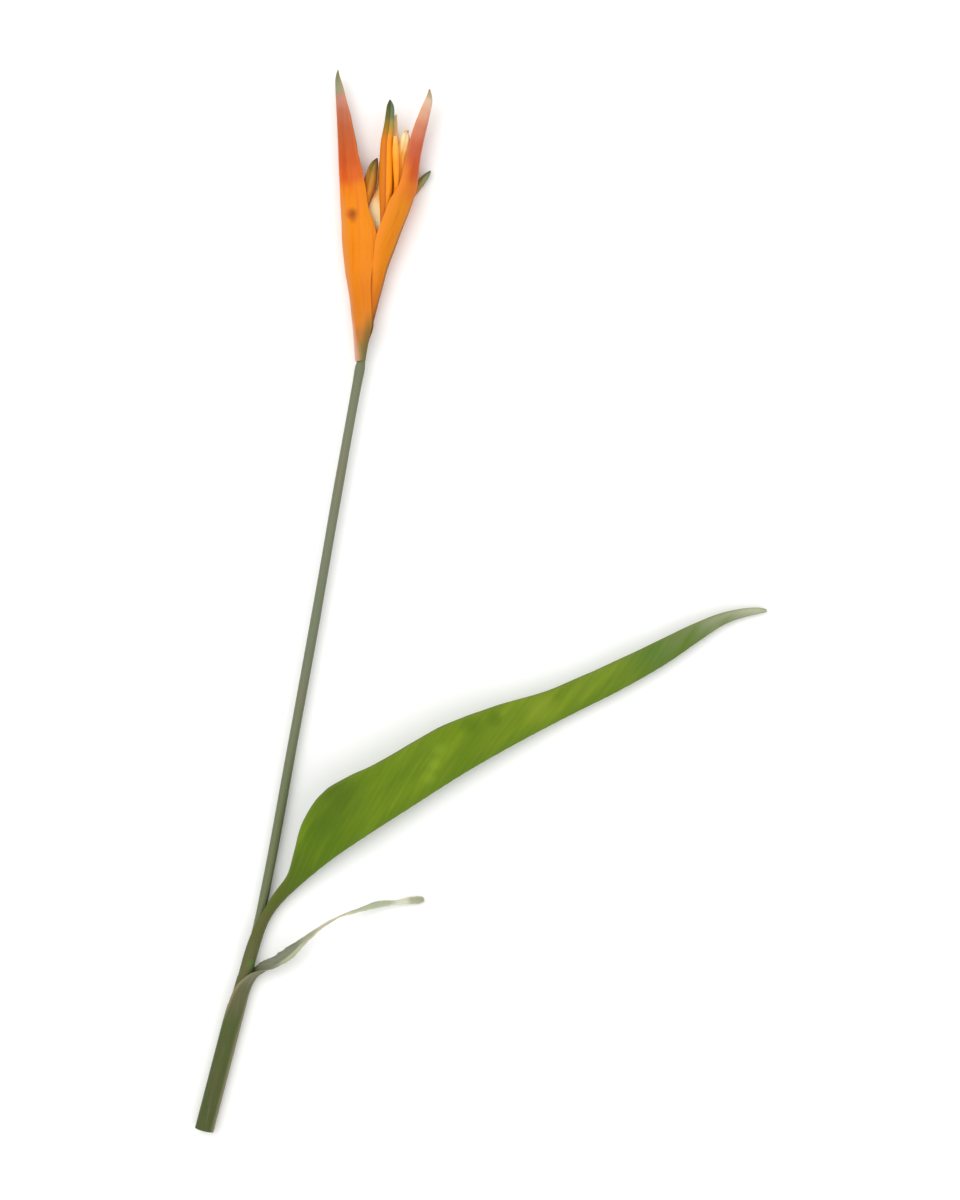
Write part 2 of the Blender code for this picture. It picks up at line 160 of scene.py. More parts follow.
BRACT_2 = [
    (65.0, 316.5, 6.35, 0, 0, 130, 4.6, 0.5),
    (67.0, 323.5, 6.9, 0, 6, 118, 5.9, 0.5),
    (69.4, 332.0, 7.6, 0, 6, 112, 7.4, 0.5),
    (71.4, 339.8, 8.1, 0, 16, 84, 7.5, 0.6),
    (75.7, 351.7, 9.2, 0, 14, 94, 11.4, 0.6),
    (80.6, 364.2, 9.6, 0, 18, 86, 11.6, 0.65),
    (83.9, 374.5, 9.9, 0, 24, 75, 9.2, 0.65),
    (85.4, 385.5, 10.2, 0, 30, 65, 7.8, 0.65),
    (87.5, 396.5, 10.5, 0, 35, 60, 6.6, 0.6),
    (89.5, 405.0, 10.8, 0, 40, 50, 5.4, 0.6),
    (90.6, 411.5, 11.1, 0, 42, 45, 3.9, 0.55),
    (89.6, 416.0, 11.3, 0, 45, 15, 1.0, 0.3),
]
BRACT_3 = [
    (64.2, 331.5, 7.45, 0, 10, 90, 3.2, 0.5),
    (64.8, 337.0, 7.5, 0, 12, 88, 3.1, 0.5),
    (64.9, 345.0, 7.2, 0, 36, 54, 4.2, 0.5),
    (64.3, 356.0, 6.4, 8, 76, 8, 6.4, 0.55),
    (63.8, 366.0, 5.5, 12, 80, 5, 8.0, 0.6),
    (65.0, 370.5, 5.0, 13, 80, 5, 8.6, 0.6),
    (67.6, 376.5, 4.9, 13, 80, 5, 7.0, 0.6),
    (68.1, 384.0, 6.0, 10, 80, 5, 6.6, 0.6),
    (68.9, 389.0, 6.6, 6, 80, 5, 6.8, 0.6),
    (70.0, 394.5, 6.6, 3, 79, 5, 7.8, 0.6),
    (71.8, 399.5, 6.7, 0, 74, 8, 5.3, 0.55),
    (75.2, 406.0, 7.0, 0, 55, 15, 0.9, 0.3),
]
LEAF = [
    (*foot(CUT_Y, LEAF_SHEATH_RADIUS), *LEAF_ROLL),
    (*foot(10.0, LEAF_SHEATH_RADIUS), *LEAF_ROLL),
    (14.8, 45.3, 3.95, *LEAF_ROLL),
    (17.8, 56.0, 4.0, 0, 1, 130, 7.4, 0.65),
    (20.3, 64.0, 4.1, 0, 3, 100, 6.5, 0.7),
    (23.6, 70.8, 4.3, 0, 10, 80, 5.8, 0.8),
    (28.4, 77.0, 5.2, 0, 24, 66, 6.4, 0.9),
    (34.3, 82.6, 6.2, 0, 40, 32, 8.0, 0.9),
    (41.5, 88.8, 7.8, 0, 57, 14, 14.0, 0.8),
    (50.0, 95.4, 9.4, 0, 64, 8, 22.4, 0.75),
    (60.5, 102.6, 10.4, 0, 66, 5, 27.5, 0.75),
    (81.6, 116.1, 9.6, 0, 66, 5, 24.8, 0.75),
    (103.7, 130.1, 9.0, 0, 66, 5, 23.6, 0.75),
    (125.6, 142.5, 7.6, 0, 65, 6, 19.6, 0.75),
    (147.7, 154.0, 5.7, 0, 64, 8, 14.4, 0.7),
    (169.7, 165.0, 5.0, 0, 62, 10, 13.2, 0.7),
    (188.7, 175.9, 4.6, 0, 60, 12, 11.4, 0.7),
    (203.4, 186.0, 3.8, 0, 57, 14, 8.6, 0.7),
    (213.7, 192.6, 3.0, 0, 52, 18, 6.0, 0.65),
    (222.3, 195.6, 2.3, 0, 50, 20, 4.5, 0.6),
    (228.5, 197.0, 2.0, 0, 50, 20, 3.3, 0.55),
    (231.0, 197.6, 1.7, 0, 50, 20, 1.7, 0.45),
]
LEAF_WAVE = {"height": 1.3, "length": 34.0, "from_y": 88.0, "to_y": 186.0}
WITHERED_LEAF = [
    (*foot(CUT_Y, OUTER_SHEATH_RADIUS), *OUTER_ROLL),
    (*foot(12.0, OUTER_SHEATH_RADIUS), *OUTER_ROLL),
    (*foot(30.0, OUTER_SHEATH_RADIUS), *OUTER_ROLL),
    (14.0, 38.5, 3.9, 0, 1, 125, 8.5, 0.7),
    (16.3, 43.3, 4.1, 0, 4, 84, 5.8, 0.7),
    (19.8, 46.7, 4.8, 25, 8, 70, 4.2, 0.7),
    (25.4, 50.2, 5.7, 60, 10, 55, 3.5, 0.65),
    (31.3, 55.0, 6.8, 80, 12, 45, 3.2, 0.6),
    (37.0, 60.6, 7.5, 110, 12, 45, 1.9, 0.6),
    (45.7, 67.3, 7.9, 150, 12, 45, 1.3, 0.6),
    (53.3, 71.0, 7.3, 185, 12, 45, 1.3, 0.6),
    (61.0, 73.4, 6.1, 220, 12, 40, 1.5, 0.6),
    (68.6, 75.2, 4.6, 250, 12, 35, 1.6, 0.6),
    (75.5, 75.9, 3.4, 225, 12, 30, 1.2, 0.6),
    (80.6, 76.3, 2.7, 255, 12, 25, 1.7, 0.6),
    (85.4, 76.6, 2.3, 262, 12, 20, 1.7, 0.6),
    (86.9, 76.8, 2.2, 262, 12, 20, 1.0, 0.6),
]

# A flower's stations: x, y, z, radius, and the index of the station where its petals leave the ovary.
FLOWERS = {
    "flower_1": (4, [
        (61.4, 313.5, 7.9, 0.55), (60.4, 320.0, 8.2, 0.6), (59.8, 330.0, 8.3, 0.75),
        (59.6, 337.0, 7.9, 1.8), (59.6, 342.0, 7.6, 1.7), (60.0, 352.0, 7.6, 2.0),
        (61.1, 365.0, 6.9, 2.2), (62.3, 370.5, 6.6, 2.3), (64.4, 376.5, 6.6, 2.65),
        (66.0, 383.8, 7.3, 1.9), (67.4, 387.6, 7.7, 0.7),
    ]),
    "flower_2": (6, [
        (63.3, 313.0, 4.1, 0.5), (63.9, 320.0, 3.2, 0.5), (65.0, 328.0, 3.2, 0.55),
        (66.3, 336.0, 2.9, 0.65), (67.8, 343.5, 2.4, 0.8), (69.3, 349.0, 2.1, 1.6),
        (70.8, 353.5, 2.1, 1.5), (74.3, 361.5, 2.05, 1.75), (79.0, 370.0, 2.4, 2.05),
        (83.0, 374.8, 2.8, 1.95), (86.6, 378.9, 3.3, 1.5), (89.8, 382.7, 3.7, 0.6),
    ]),
    "flower_3": (5, [
        (67.3, 331.0, 8.2, 0.45), (68.5, 338.0, 8.8, 0.45), (69.1, 344.5, 10.2, 0.6),
        (69.8, 350.5, 10.8, 0.9), (70.2, 355.0, 11.0, 1.7), (70.5, 360.0, 11.0, 1.7),
        (71.1, 371.0, 11.0, 2.55), (71.3, 382.0, 11.1, 2.75), (71.5, 392.0, 11.3, 2.5),
        (72.7, 402.0, 11.6, 1.95), (73.1, 408.0, 11.8, 1.6), (72.9, 411.5, 11.9, 0.7),
    ]),
    "flower_4": (6, [
        (67.4, 331.0, 6.6, 0.45), (68.8, 337.5, 7.1, 0.45), (70.4, 344.5, 8.3, 0.55),
        (72.2, 350.0, 9.3, 0.75), (73.4, 355.0, 9.6, 0.9), (74.4, 359.5, 9.6, 1.5),
        (75.2, 364.0, 9.8, 1.45), (76.3, 371.0, 10.2, 2.1), (76.9, 378.0, 10.4, 2.4),
        (77.2, 387.0, 10.5, 2.55), (78.6, 392.5, 10.6, 2.3), (79.3, 396.3, 10.7, 1.7),
        (79.7, 398.0, 10.8, 1.0),
    ]),
}
FREE_SEPAL = [
    (74.9, 371.5, 11.2, 0, 15, 60, 1.7, 0.6),
    (74.3, 382.0, 13.3, -20, 15, 60, 2.8, 0.6),
    (74.0, 390.0, 13.8, -25, 20, 60, 3.0, 0.6),
    (74.6, 396.0, 14.5, -25, 20, 40, 1.5, 0.4),
]


# Lines and small functions

def ease(values):
    """A smooth step from 0 to 1."""
    held = np.clip(values, 0.0, 1.0)
    return held * held * (3 - 2 * held)


def ripple(first, second, seed, waves=6):
    """Smooth seeded noise of about -1 to 1 over two grids of numbers. Its waves are about one unit long."""
    draw = np.random.default_rng(seed)
    total = 0.0
    for _ in range(waves):
        turn, phase = draw.uniform(0.0, 2 * math.pi, 2)
        rate = 2 * math.pi * draw.uniform(0.6, 1.5)
        total = total + np.sin(rate * (first * math.cos(turn) + second * math.sin(turn)) + phase)
    return total / math.sqrt(waves)


def smooth_curve(stations, steps=24):
    """Rows on a smooth curve through the stations that overshoots none, with so many steps to a gap."""
    table = np.array(stations, float)
    gaps = np.linalg.norm(np.diff(table[:, :3], axis=0), axis=1)[:, None]
    slopes = np.diff(table, axis=0) / gaps
    tangents = np.zeros_like(table)
    tangents[0], tangents[-1] = slopes[0], slopes[-1]
    before, after = slopes[:-1], slopes[1:]
    agree = before * after > 0
    near, far = 2 * gaps[1:] + gaps[:-1], gaps[1:] + 2 * gaps[:-1]
    safe_before, safe_after = np.where(agree, before, 1.0), np.where(agree, after, 1.0)
    tangents[1:-1] = np.where(agree, (near + far) / (near / safe_before + far / safe_after), 0.0)
    t = np.linspace(0.0, 1.0, steps, endpoint=False)[:, None]
    rows = [
        (1 + 2 * t) * (1 - t) ** 2 * table[i]
        + t * (1 - t) ** 2 * gap * tangents[i]
        + t * t * (3 - 2 * t) * table[i + 1]
        + t * t * (t - 1) * gap * tangents[i + 1]
        for i, gap in enumerate(gaps[:, 0])
    ]
    return np.vstack([*rows, table[-1:]])


def softened(table, reach):
    """Each row averaged with its neighbours within this many rows. The two end rows stay."""
    weights = np.hanning(2 * reach + 3)[1:-1]
    weights /= weights.sum()
    start = 2 * table[0] - table[reach:0:-1]
    end = 2 * table[-1] - table[-2:-reach - 2:-1]
    padded = np.vstack([start, table, end])
    return np.stack([np.convolve(column, weights, "valid") for column in padded.T], axis=1)


def even_rows(stations, spacing, reach):
    """Evenly spaced rows through the stations, and each row's distance along the line."""
    curve = smooth_curve(stations)
    steps = np.linalg.norm(np.diff(curve[:, :3], axis=0), axis=1)
    length = np.concatenate([[0.0], np.cumsum(steps)])
    along = np.linspace(0.0, length[-1], int(length[-1] / spacing) + 2)
    rows = np.stack([np.interp(along, length, column) for column in curve.T], axis=1)
    return softened(rows, reach), along


def unit(vectors):
    """The vectors at a length of one."""
    return vectors / np.linalg.norm(vectors, axis=-1, keepdims=True)


def axes(path, side_sign=1.0, roll=0.0):
    """Two unit vectors across a path at each row: out to the side, and up, both turned by the roll."""
    tangent = unit(np.gradient(path, axis=0))
    side = side_sign * unit(np.cross(tangent, (0.0, 0.0, 1.0)))
    up = side_sign * np.cross(side, tangent)
    turn = np.radians(np.broadcast_to(roll, len(path)))[:, None]
    return np.cos(turn) * side - np.sin(turn) * up, np.cos(turn) * up + np.sin(turn) * side


def spokes(angle, up, side):
    """Unit vectors across a path, at each row and at each of these angles from up."""
    return np.cos(angle)[None, :, None] * up[:, None] + np.sin(angle)[None, :, None] * side[:, None]


def rounded_tip(along, length, least):
    """The share of the radius that is left at each row, where the last millimetres round off to a tip."""
    left = np.clip((along[-1] - along) / length, 0, 1)
    return np.sqrt(np.clip(1 - (1 - left) ** 2, least, 1))


def line_facts(along, count):
    """How far along its line each point is, in millimetres and as a share, for rows of so many points."""
    return {
        "along": np.repeat(along[:, None], count, axis=1),
        "share": np.repeat(along[:, None] / along[-1], count, axis=1),
    }


# Meshes

def add_object(name, data):
    """A new object of the scene."""
    thing = bpy.data.objects.new(name, data)
    bpy.context.scene.collection.objects.link(thing)
    return thing


def add_mesh(name, points, faces, facts, materials, face_slots):
    """One closed mesh from points in millimetres.

    Facts are named numbers at each point, and face_slots gives each face's material.
    """
    mesh = bpy.data.meshes.new(name)
    mesh.from_pydata((points * MM).tolist(), [], faces)
    for fact, values in facts.items():
        layer = mesh.attributes.new(fact, "FLOAT", "POINT")
        layer.data.foreach_set("value", np.asarray(values, np.float32).ravel())
    for material in materials:
        mesh.materials.append(material)
    mesh.update()
    mesh.polygons.foreach_set("material_index", face_slots)
    mesh.shade_smooth()
    mesh.set_sharp_from_angle(angle=SHARP_ANGLE)
    return add_object(name, mesh)


def outward_faces(points, faces):
    """The faces, all turned over if they point into the mesh that they close."""
    fans = [(face[0], face[k], face[k + 1]) for face in faces for k in range(1, len(face) - 1)]
    first, second, third = points[np.array(fans)].transpose(1, 0, 2)
    volume = (first * np.cross(second, third)).sum()
    return faces if volume > 0 else [face[::-1] for face in faces]


def ring_faces(rows, ring):
    """Quads between each ring of points and the next."""
    here = np.arange(ring)
    after = (here + 1) % ring
    first = np.stack([here, after, after + ring, here + ring], axis=1)
    quads = first + ring * np.arange(rows - 1)[:, None, None]
    return [tuple(quad) for quad in quads.reshape(-1, 4).tolist()]


def sheet_mesh(name, outer, inner, edges, facts, materials, cut=False):
    """A thin closed sheet.

    outer and inner are (rows, columns, 3) grids of its two faces, edges the points that round off its two
    margins, and facts (rows, columns) grids that both faces share. A cut sheet's first end has the second
    material.
    """
    rows, columns = outer.shape[:2]
    low_edge, high_edge = edges
    grid = np.concatenate([outer, high_edge[:, None], inner[:, ::-1], low_edge[:, None]], axis=1)
    ring = 2 * columns + 2
    points = grid.reshape(-1, 3)
    faces = ring_faces(rows, ring)
    sides = len(faces)
    for row, turned in ((0, False), (rows - 1, True)):
        start = row * ring
        front = [start + j for j in range(columns)]
        back = [start + 2 * columns - j for j in range(columns)]
        cap = [(front[j + 1], front[j], back[j], back[j + 1]) for j in range(columns - 1)]
        cap.append((start + columns, front[-1], back[-1]))
        cap.append((start + ring - 1, back[0], front[0]))
        faces += [face[::-1] for face in cap] if turned else cap
    caps = (len(faces) - sides) // 2
    slots = [0] * sides + [1 if cut else 0] * caps + [0] * caps
    wide = {
        fact: np.concatenate([values, values[:, -1:], values[:, ::-1], values[:, :1]], axis=1)
        for fact, values in facts.items()
    }
    wide["inside"] = np.zeros((rows, ring))
    wide["inside"][:, columns + 1:-1] = 1.0
    return add_mesh(name, points, outward_faces(points, faces), wide, materials, slots)


def tube_mesh(name, rings, facts, materials, cut=False):
    """A closed tube from a (rows, sides, 3) grid. A cut tube's first end has the second material."""
    rows, sides = rings.shape[:2]
    points = rings.reshape(-1, 3)
    faces = ring_faces(rows, sides)
    slots = [0] * len(faces) + [1 if cut else 0, 0]
    faces.append(tuple(range(sides))[::-1])
    faces.append(tuple(range((rows - 1) * sides, rows * sides)))
    return add_mesh(name, points, outward_faces(points, faces), facts, materials, slots)


def folded_sheet(
    name, stations, keel_side, materials, columns, spacing, keel_round, thin, reach=4,
    relief=None, lift=None, ragged=None, overlap=None, cut=False,
):
    """A sheet that is folded along its keel, and closed along its margins.

    columns is the number of faces across each half, spacing the distance between rows, and reach how many
    rows are averaged. keel_round is the width of each half over which the fold is rounded, thin the share of
    the wall that is left at the margin, relief how far a point stands out, lift how far it is raised, ragged
    the share by which a half is wider, and overlap the share by which a rolled sheath reaches past its half
    turn.
    """
    rows, along = even_rows(stations, spacing, reach)
    keel = rows[:, :3]
    open_angle, curl, half_width, wall = (rows[:, k][:, None] for k in range(4, 8))
    outward, up = axes(keel, keel_side, rows[:, 3])
    share = (1 - np.cos(np.pi * np.arange(columns + 1) / columns)) / 2
    extra = np.zeros((len(rows), 1)) if overlap is None else overlap(along)[:, None]

    def place(inward, rise, sign):
        shape = (-1,) + (1,) * (inward.ndim - 1) + (3,)
        middle, aside = keel.reshape(shape), outward.reshape(shape)
        return middle - inward[..., None] * aside + sign * rise[..., None] * up.reshape(shape)

    halves = []
    edges = []
    for sign in (-1, 1):
        width = half_width * (1 + extra)
        if ragged is not None:
            width = width * (1 + ragged(along, sign))[:, None]
        span = width * share
        angle = np.radians(open_angle * ease(span / keel_round) + curl * (1 + extra) * share)
        middle = (angle[:, 1:] + angle[:, :-1]) / 2
        step = np.diff(span, axis=1)
        start = np.zeros((len(rows), 1))
        inward = np.hstack([start, np.cumsum(step * np.sin(middle), axis=1)])
        rise = np.hstack([start, np.cumsum(step * np.cos(middle), axis=1)])
        depth = wall * (1 - (1 - thin) * share**1.2)
        lap = LAP_OUT if sign > 0 else -LAP_IN
        stand = np.sign(extra) * lap * ease((share - LAP_START) / LAP_RISE)
        if relief is not None:
            stand = stand + relief(along[:, None], sign * span, sign * share)
        outer = (inward - stand * np.cos(angle), rise + stand * np.sin(angle))
        inner_rise = rise - (depth - stand) * np.sin(angle)
        held_rise = np.maximum(inner_rise, FOLD_GAP * np.minimum(1.0, span / FOLD_GAP_REACH))
        inner_rise = np.where(span < 0.3 * width, held_rise, inner_rise)
        inner = (inward + (depth - stand) * np.cos(angle), inner_rise)
        lip, last = depth[:, -1] / 2, angle[:, -1]
        edges.append(place(
            (outer[0][:, -1] + inner[0][:, -1]) / 2 + lip * np.sin(last),
            (outer[1][:, -1] + inner[1][:, -1]) / 2 + lip * np.cos(last),
            sign,
        ))
        halves.append((place(*outer, sign), place(*inner, sign), span, width - span))

    outer, inner, span, rim = (np.concatenate([low[:, :0:-1], high], axis=1) for low, high in zip(*halves))
    signed = np.concatenate([-share[:0:-1], share])
    if lift is not None:
        raised = lift(keel, signed)
        outer[..., 2] += raised
        inner[..., 2] += raised
        edges[0][:, 2] += raised[:, 0]
        edges[1][:, 2] += raised[:, -1]
    lowest = np.minimum(outer[..., 2].min(axis=1), inner[..., 2].min(axis=1))
    sunk = softened(np.maximum(0.0, LEAST_HEIGHT - lowest)[:, None], reach)[:, 0]
    for part in (outer, inner, *edges):
        part[..., 2] += sunk.reshape((-1,) + (1,) * (part.ndim - 2))
        part[..., 2] = np.maximum(part[..., 2], LEAST_HEIGHT)
    facts = line_facts(along, len(signed))
    facts.update(across=np.repeat(signed[None], len(rows), axis=0), span=span, rim=rim)
    return sheet_mesh(name, outer, inner, edges, facts, materials, cut)


# Materials

def linear(red, green, blue):
    """A colour's linear values from its usual values of 0 to 255."""
    shares = [value / 255 for value in (red, green, blue)]
    return tuple(c / 12.92 if c <= 0.04 else ((c + 0.055) / 1.055) ** 2.4 for c in shares)


class Paint:
    """A node material, with short ways to add and join its nodes."""

    def __init__(self, name):
        self.material = bpy.data.materials.new(name)
        self.material.use_nodes = True
        self.tree = self.material.node_tree
        self.shader = self.tree.nodes["Principled BSDF"]

    def join(self, value, socket):
        """Links a node's output to a socket, or sets the socket to a number or a colour."""
        if isinstance(value, bpy.types.NodeSocket):
            self.tree.links.new(value, socket)
        elif isinstance(value, tuple):
            socket.default_value = (*value, 1.0) if len(socket.default_value) == 4 else value
        else:
            socket.default_value = value

    def node(self, kind, inputs, **settings):
        """A new node with these settings, and with its inputs, by name or number, joined to their values."""
        node = self.tree.nodes.new(f"ShaderNode{kind}")
        for name, setting in settings.items():
            setattr(node, name, setting)
        for key, value in inputs.items():
            self.join(value, node.inputs[key])
        return node

    def facts(self, *names):
        """The named numbers that the mesh keeps at each point."""
        return [self.node("Attribute", {}, attribute_name=name).outputs["Fac"] for name in names]

    def place(self):
        """Where the point is in the model, in metres."""
        return self.node("TexCoord", {}).outputs["Object"]

    def math(self, operation, first, second=0.0, third=0.0):
        return self.node("Math", {0: first, 1: second, 2: third}, operation=operation).outputs[0]

    def scaled(self, value, factor):
        return self.math("MULTIPLY", value, factor)

    def power(self, value, exponent):
        return self.math("POWER", value, exponent)

    def step(self, value, low, high):
        """A smooth step from 0 at low to 1 at high. Low may be the larger of the two."""
        ends = {"From Min": min(low, high), "From Max": max(low, high)}
        results = {"To Min": float(low > high), "To Max": float(low < high)}
        inputs = {"Value": value, **ends, **results}
        return self.node("MapRange", inputs, interpolation_type="SMOOTHSTEP").outputs["Result"]

    def noise(self, vector, scale=1.0, detail=3.0):
        inputs = {"Vector": vector, "Scale": scale, "Detail": detail, "Roughness": 0.55}
        return self.node("TexNoise", inputs).outputs["Fac"]

    def clouds(self, first, second, seed=0.0, detail=3.0):
        """Noise over two numbers, each given with its rate. The seed shifts it to another pattern."""
        place = self.node("CombineXYZ", {0: self.scaled(*first), 1: self.scaled(*second), 2: seed})
        return self.noise(place.outputs[0], detail=detail)

    def lines(self, value, spacing, noise, wander):
        """0 to 1 and back once in each spacing of the value, in millimetres. The noise makes them wander."""
        phase = self.math("MULTIPLY_ADD", value, 2 * math.pi / spacing, self.scaled(noise, wander))
        return self.math("MULTIPLY_ADD", self.math("SINE", phase), 0.5, 0.5)

    def ramp(self, value, stops):
        """A colour that follows the value through stops of (place, (red, green, blue))."""
        node = self.node("ValToRGB", {"Fac": value})
        node.color_ramp.interpolation = "EASE"
        elements = node.color_ramp.elements
        elements.remove(elements[-1])
        for k, (place, colour) in enumerate(stops):
            element = elements[0] if k == 0 else elements.new(place)
            element.position = place
            element.color = (*linear(*colour), 1.0)
        return node.outputs["Color"]

    def mix(self, factor, first, second, blend="MIX"):
        node = self.node("Mix", {0: factor}, data_type="RGBA", blend_type=blend)
        colours = [socket for socket in node.inputs if socket.type == "RGBA"]
        self.join(first, colours[0])
        self.join(second, colours[1])
        return next(socket for socket in node.outputs if socket.type == "RGBA")

    def layered(self, colour, *layers, blend="MIX"):
        """The colour under layers of (strength, colour, masks). A layer is thin where a mask is low."""
        for strength, tone, *masks in layers:
            for mask in masks:
                strength = self.scaled(mask, strength)
            colour = self.mix(strength, colour, linear(*tone), blend)
        return colour

    def finish(self, colour, grain, least, most, reliefs, inner_light=0.0, **constants):
        """The material.

        Its roughness runs from least to most with the grain. Each relief is a height of 0 to 1, and its
        distance in millimetres. inner_light is the share of light that spreads under the surface. The
        constants go to the shader's own sockets.
        """
        normal = {}
        for height, distance in reliefs:
            inputs = {"Height": height, "Distance": distance * MM, "Strength": 1.0, **normal}
            normal = {"Normal": self.node("Bump", inputs).outputs["Normal"]}
        sockets = {
            "Base Color": colour,
            "Roughness": self.math("MULTIPLY_ADD", grain, most - least, least),
            "Subsurface Weight": inner_light,
            "Subsurface Scale": LIGHT_DEPTH * MM,
            **normal,
            **{name.replace("_", " "): value for name, value in constants.items()},
        }
        for name, value in sockets.items():
            self.join(value, self.shader.inputs[name])
        return self.material


# The waxy surface of bracts and petals.
WAX = {"inner_light": 0.06, "Specular_IOR_Level": 0.13, "Coat_Weight": 0.03}

# How far light spreads under a surface, in millimetres.
LIGHT_DEPTH = 1.0

# How far the borders between two colours wander, as a share of the piece's length.
BORDER_WANDER = 0.05

# The length over which the stem's colours run, in millimetres.
STEM_COLOURS = 370.0


def fibre(paint, stretch=0.05, across=1.6, seed=0.0):
    """Noise drawn out along the plant, as its fibres are."""
    along, span = paint.facts("along", "span")
    return paint.clouds((along, stretch), (span, across), seed, detail=4.0)


def wandering_ramp(paint, stops, stretch, seed):
    """The colours of the stops along the piece, with borders that wander."""
    along, across, share = paint.facts("along", "across", "share")
    blotch = paint.clouds((along, stretch), (across, 1.0), seed)
    middle = paint.math("SUBTRACT", share, BORDER_WANDER / 2)
    return paint.ramp(paint.math("MULTIPLY_ADD", blotch, BORDER_WANDER, middle), stops)


def spotted(paint, colour, spots):
    """The colour with soft round spots of (place in millimetres, size, strength, colour)."""
    for place, size, strength, tone in spots:
        centre = tuple(c * MM for c in place)
        away = paint.node("VectorMath", {0: paint.place(), 1: centre}, operation="DISTANCE")
        near = paint.step(away.outputs["Value"], size * MM, 0.1 * size * MM)
        colour = paint.layered(colour, (strength, tone, near))
    return colour


def bract_paint(name, stops, keel_tint, rim_tint, seed, shades=(), spots=(), deeper=0.3):
    """A waxy bract: its colours along the line, fine veins, and a tinted keel and rim.

    A tint is (share of the length where it starts and is full, strength, colour). A shade is (the edge that
    it follows, width, share of the length where it starts and is full, strength, colour); some shades are
    the bract's own tints and some are painted shade along its outline. A spot is (place, size, strength,
    colour).
    deeper is how much the deeper orange clouds show.
    """
    paint = Paint(name)
    along, share, span, rim, inside = paint.facts("along", "share", "span", "rim", "inside")
    grain = fibre(paint, seed=seed)
    veins = paint.lines(span, 0.85, grain, 3.0)
    cloud = paint.step(paint.clouds((along, 0.045), (span, 0.4), seed + 3.0, detail=2.0), 0.5, 0.75)
    colour = wandering_ramp(paint, stops, 0.06, seed)
    colour = paint.layered(colour, (deeper, (232, 104, 12), cloud), blend="MULTIPLY")
    colour = paint.layered(
        colour,
        (0.12, (196, 78, 22), paint.power(veins, 3.0)),
        (0.16, (248, 160, 20), paint.step(grain, 0.5, 0.8)),
    )
    for (low, high, strength, tone), edge in (
        (keel_tint, paint.step(span, 1.5, 0.2)), (rim_tint, paint.step(rim, 1.0, 0.1)),
    ):
        colour = paint.layered(colour, (strength, tone, edge, paint.step(share, low, high)))
    colour = paint.layered(colour, (0.5, (255, 150, 10), inside))
    # Shades along an edge: tints of the bract's own colour, and painted shade along its outline.
    for edge, width, low, high, strength, tone in shades:
        side = paint.step(*paint.facts(edge), width, 0.2 * width)
        colour = paint.layered(colour, (strength, tone, side, paint.step(share, low, high)))
    colour = spotted(paint, colour, spots)
    reliefs = [(veins, 0.035), (grain, 0.05)]
    return paint.finish(colour, grain, 0.34, 0.54, reliefs, Coat_Roughness=0.3, **WAX)


def flower_paint(name, stops, seed):
    """Waxy petals: their colours from the ovary to the tip, fine lines, and darker edges where they meet."""
    paint = Paint(name)
    share, span, rim = paint.facts("share", "span", "rim")
    grain = fibre(paint, 0.1, 2.5, seed)
    lines = paint.lines(span, 0.5, grain, 2.5)
    colour = paint.layered(
        wandering_ramp(paint, stops, 0.15, seed),
        (0.12, (206, 88, 8), lines, paint.step(share, 0.95, 0.8)),
        (0.12, (255, 180, 60), paint.step(grain, 0.5, 0.8)),
    )
    colour = paint.layered(colour, (0.32, (208, 104, 10), paint.step(rim, 1.3, 0.05)), blend="MULTIPLY")
    reliefs = [(lines, 0.02), (grain, 0.03)]
    return paint.finish(colour, grain, 0.32, 0.52, reliefs, Coat_Roughness=0.25, **WAX)


def ovary_paint():
    """Stalk and ovary: ochre at the foot, orange at the ovary."""
    paint = Paint("ovary")
    grain = fibre(paint, 0.2, 2.0)
    colour = paint.ramp(*paint.facts("share"), [
        (0.0, (200, 160, 50)), (0.25, (226, 158, 40)), (0.55, (240, 148, 26)), (1.0, (238, 134, 18)),
    ])
    colour = paint.layered(colour, (0.2, (150, 140, 40), paint.step(grain, 0.4, 0.8)))
    return paint.finish(colour, grain, 0.3, 0.5, [(grain, 0.04)], 0.1)


def stamen_paint():
    """Pale thread and yellow tip of a stamen."""
    paint = Paint("stamen")
    grain = fibre(paint, 0.4, 3.0)
    colour = paint.ramp(*paint.facts("share"), [
        (0.0, (246, 222, 168)), (0.7, (246, 214, 140)), (0.8, (232, 190, 84)), (1.0, (212, 168, 60)),
    ])
    colour = paint.layered(colour, (0.2, (206, 160, 70), grain))
    return paint.finish(colour, grain, 0.4, 0.6, [(grain, 0.03)], 0.1, Subsurface_Scale=0.8 * MM)


def stem_paint():
    """The stem: grey-green with a brown cast and fine lines, orange where the bracts leave it."""
    paint = Paint("stem")
    along, span = paint.facts("along", "span")
    grain = fibre(paint, 0.03, 1.4)
    fine = paint.lines(span, 0.55, grain, 3.0)
    cloud = paint.clouds((along, 0.03), (span, 0.2))
    colour = paint.ramp(paint.scaled(along, 1 / STEM_COLOURS), [
        (0.0, (92, 98, 50)), (0.3, (96, 106, 64)), (0.6, (104, 112, 84)), (0.82, (110, 116, 88)),
        (0.885, (104, 110, 78)), (0.905, (110, 104, 56)), (0.93, (190, 116, 30)), (1.0, (232, 126, 22)),
    ])
    colour = paint.layered(
        colour,
        (0.4, (116, 98, 74), paint.step(cloud, 0.4, 0.75)),
        (0.22, (66, 78, 46), paint.power(fine, 2.0)),
        (0.2, (136, 142, 104), paint.step(grain, 0.5, 0.8)),
    )
    return paint.finish(colour, grain, 0.38, 0.63, [(fine, 0.04), (grain, 0.05)], 0.05)


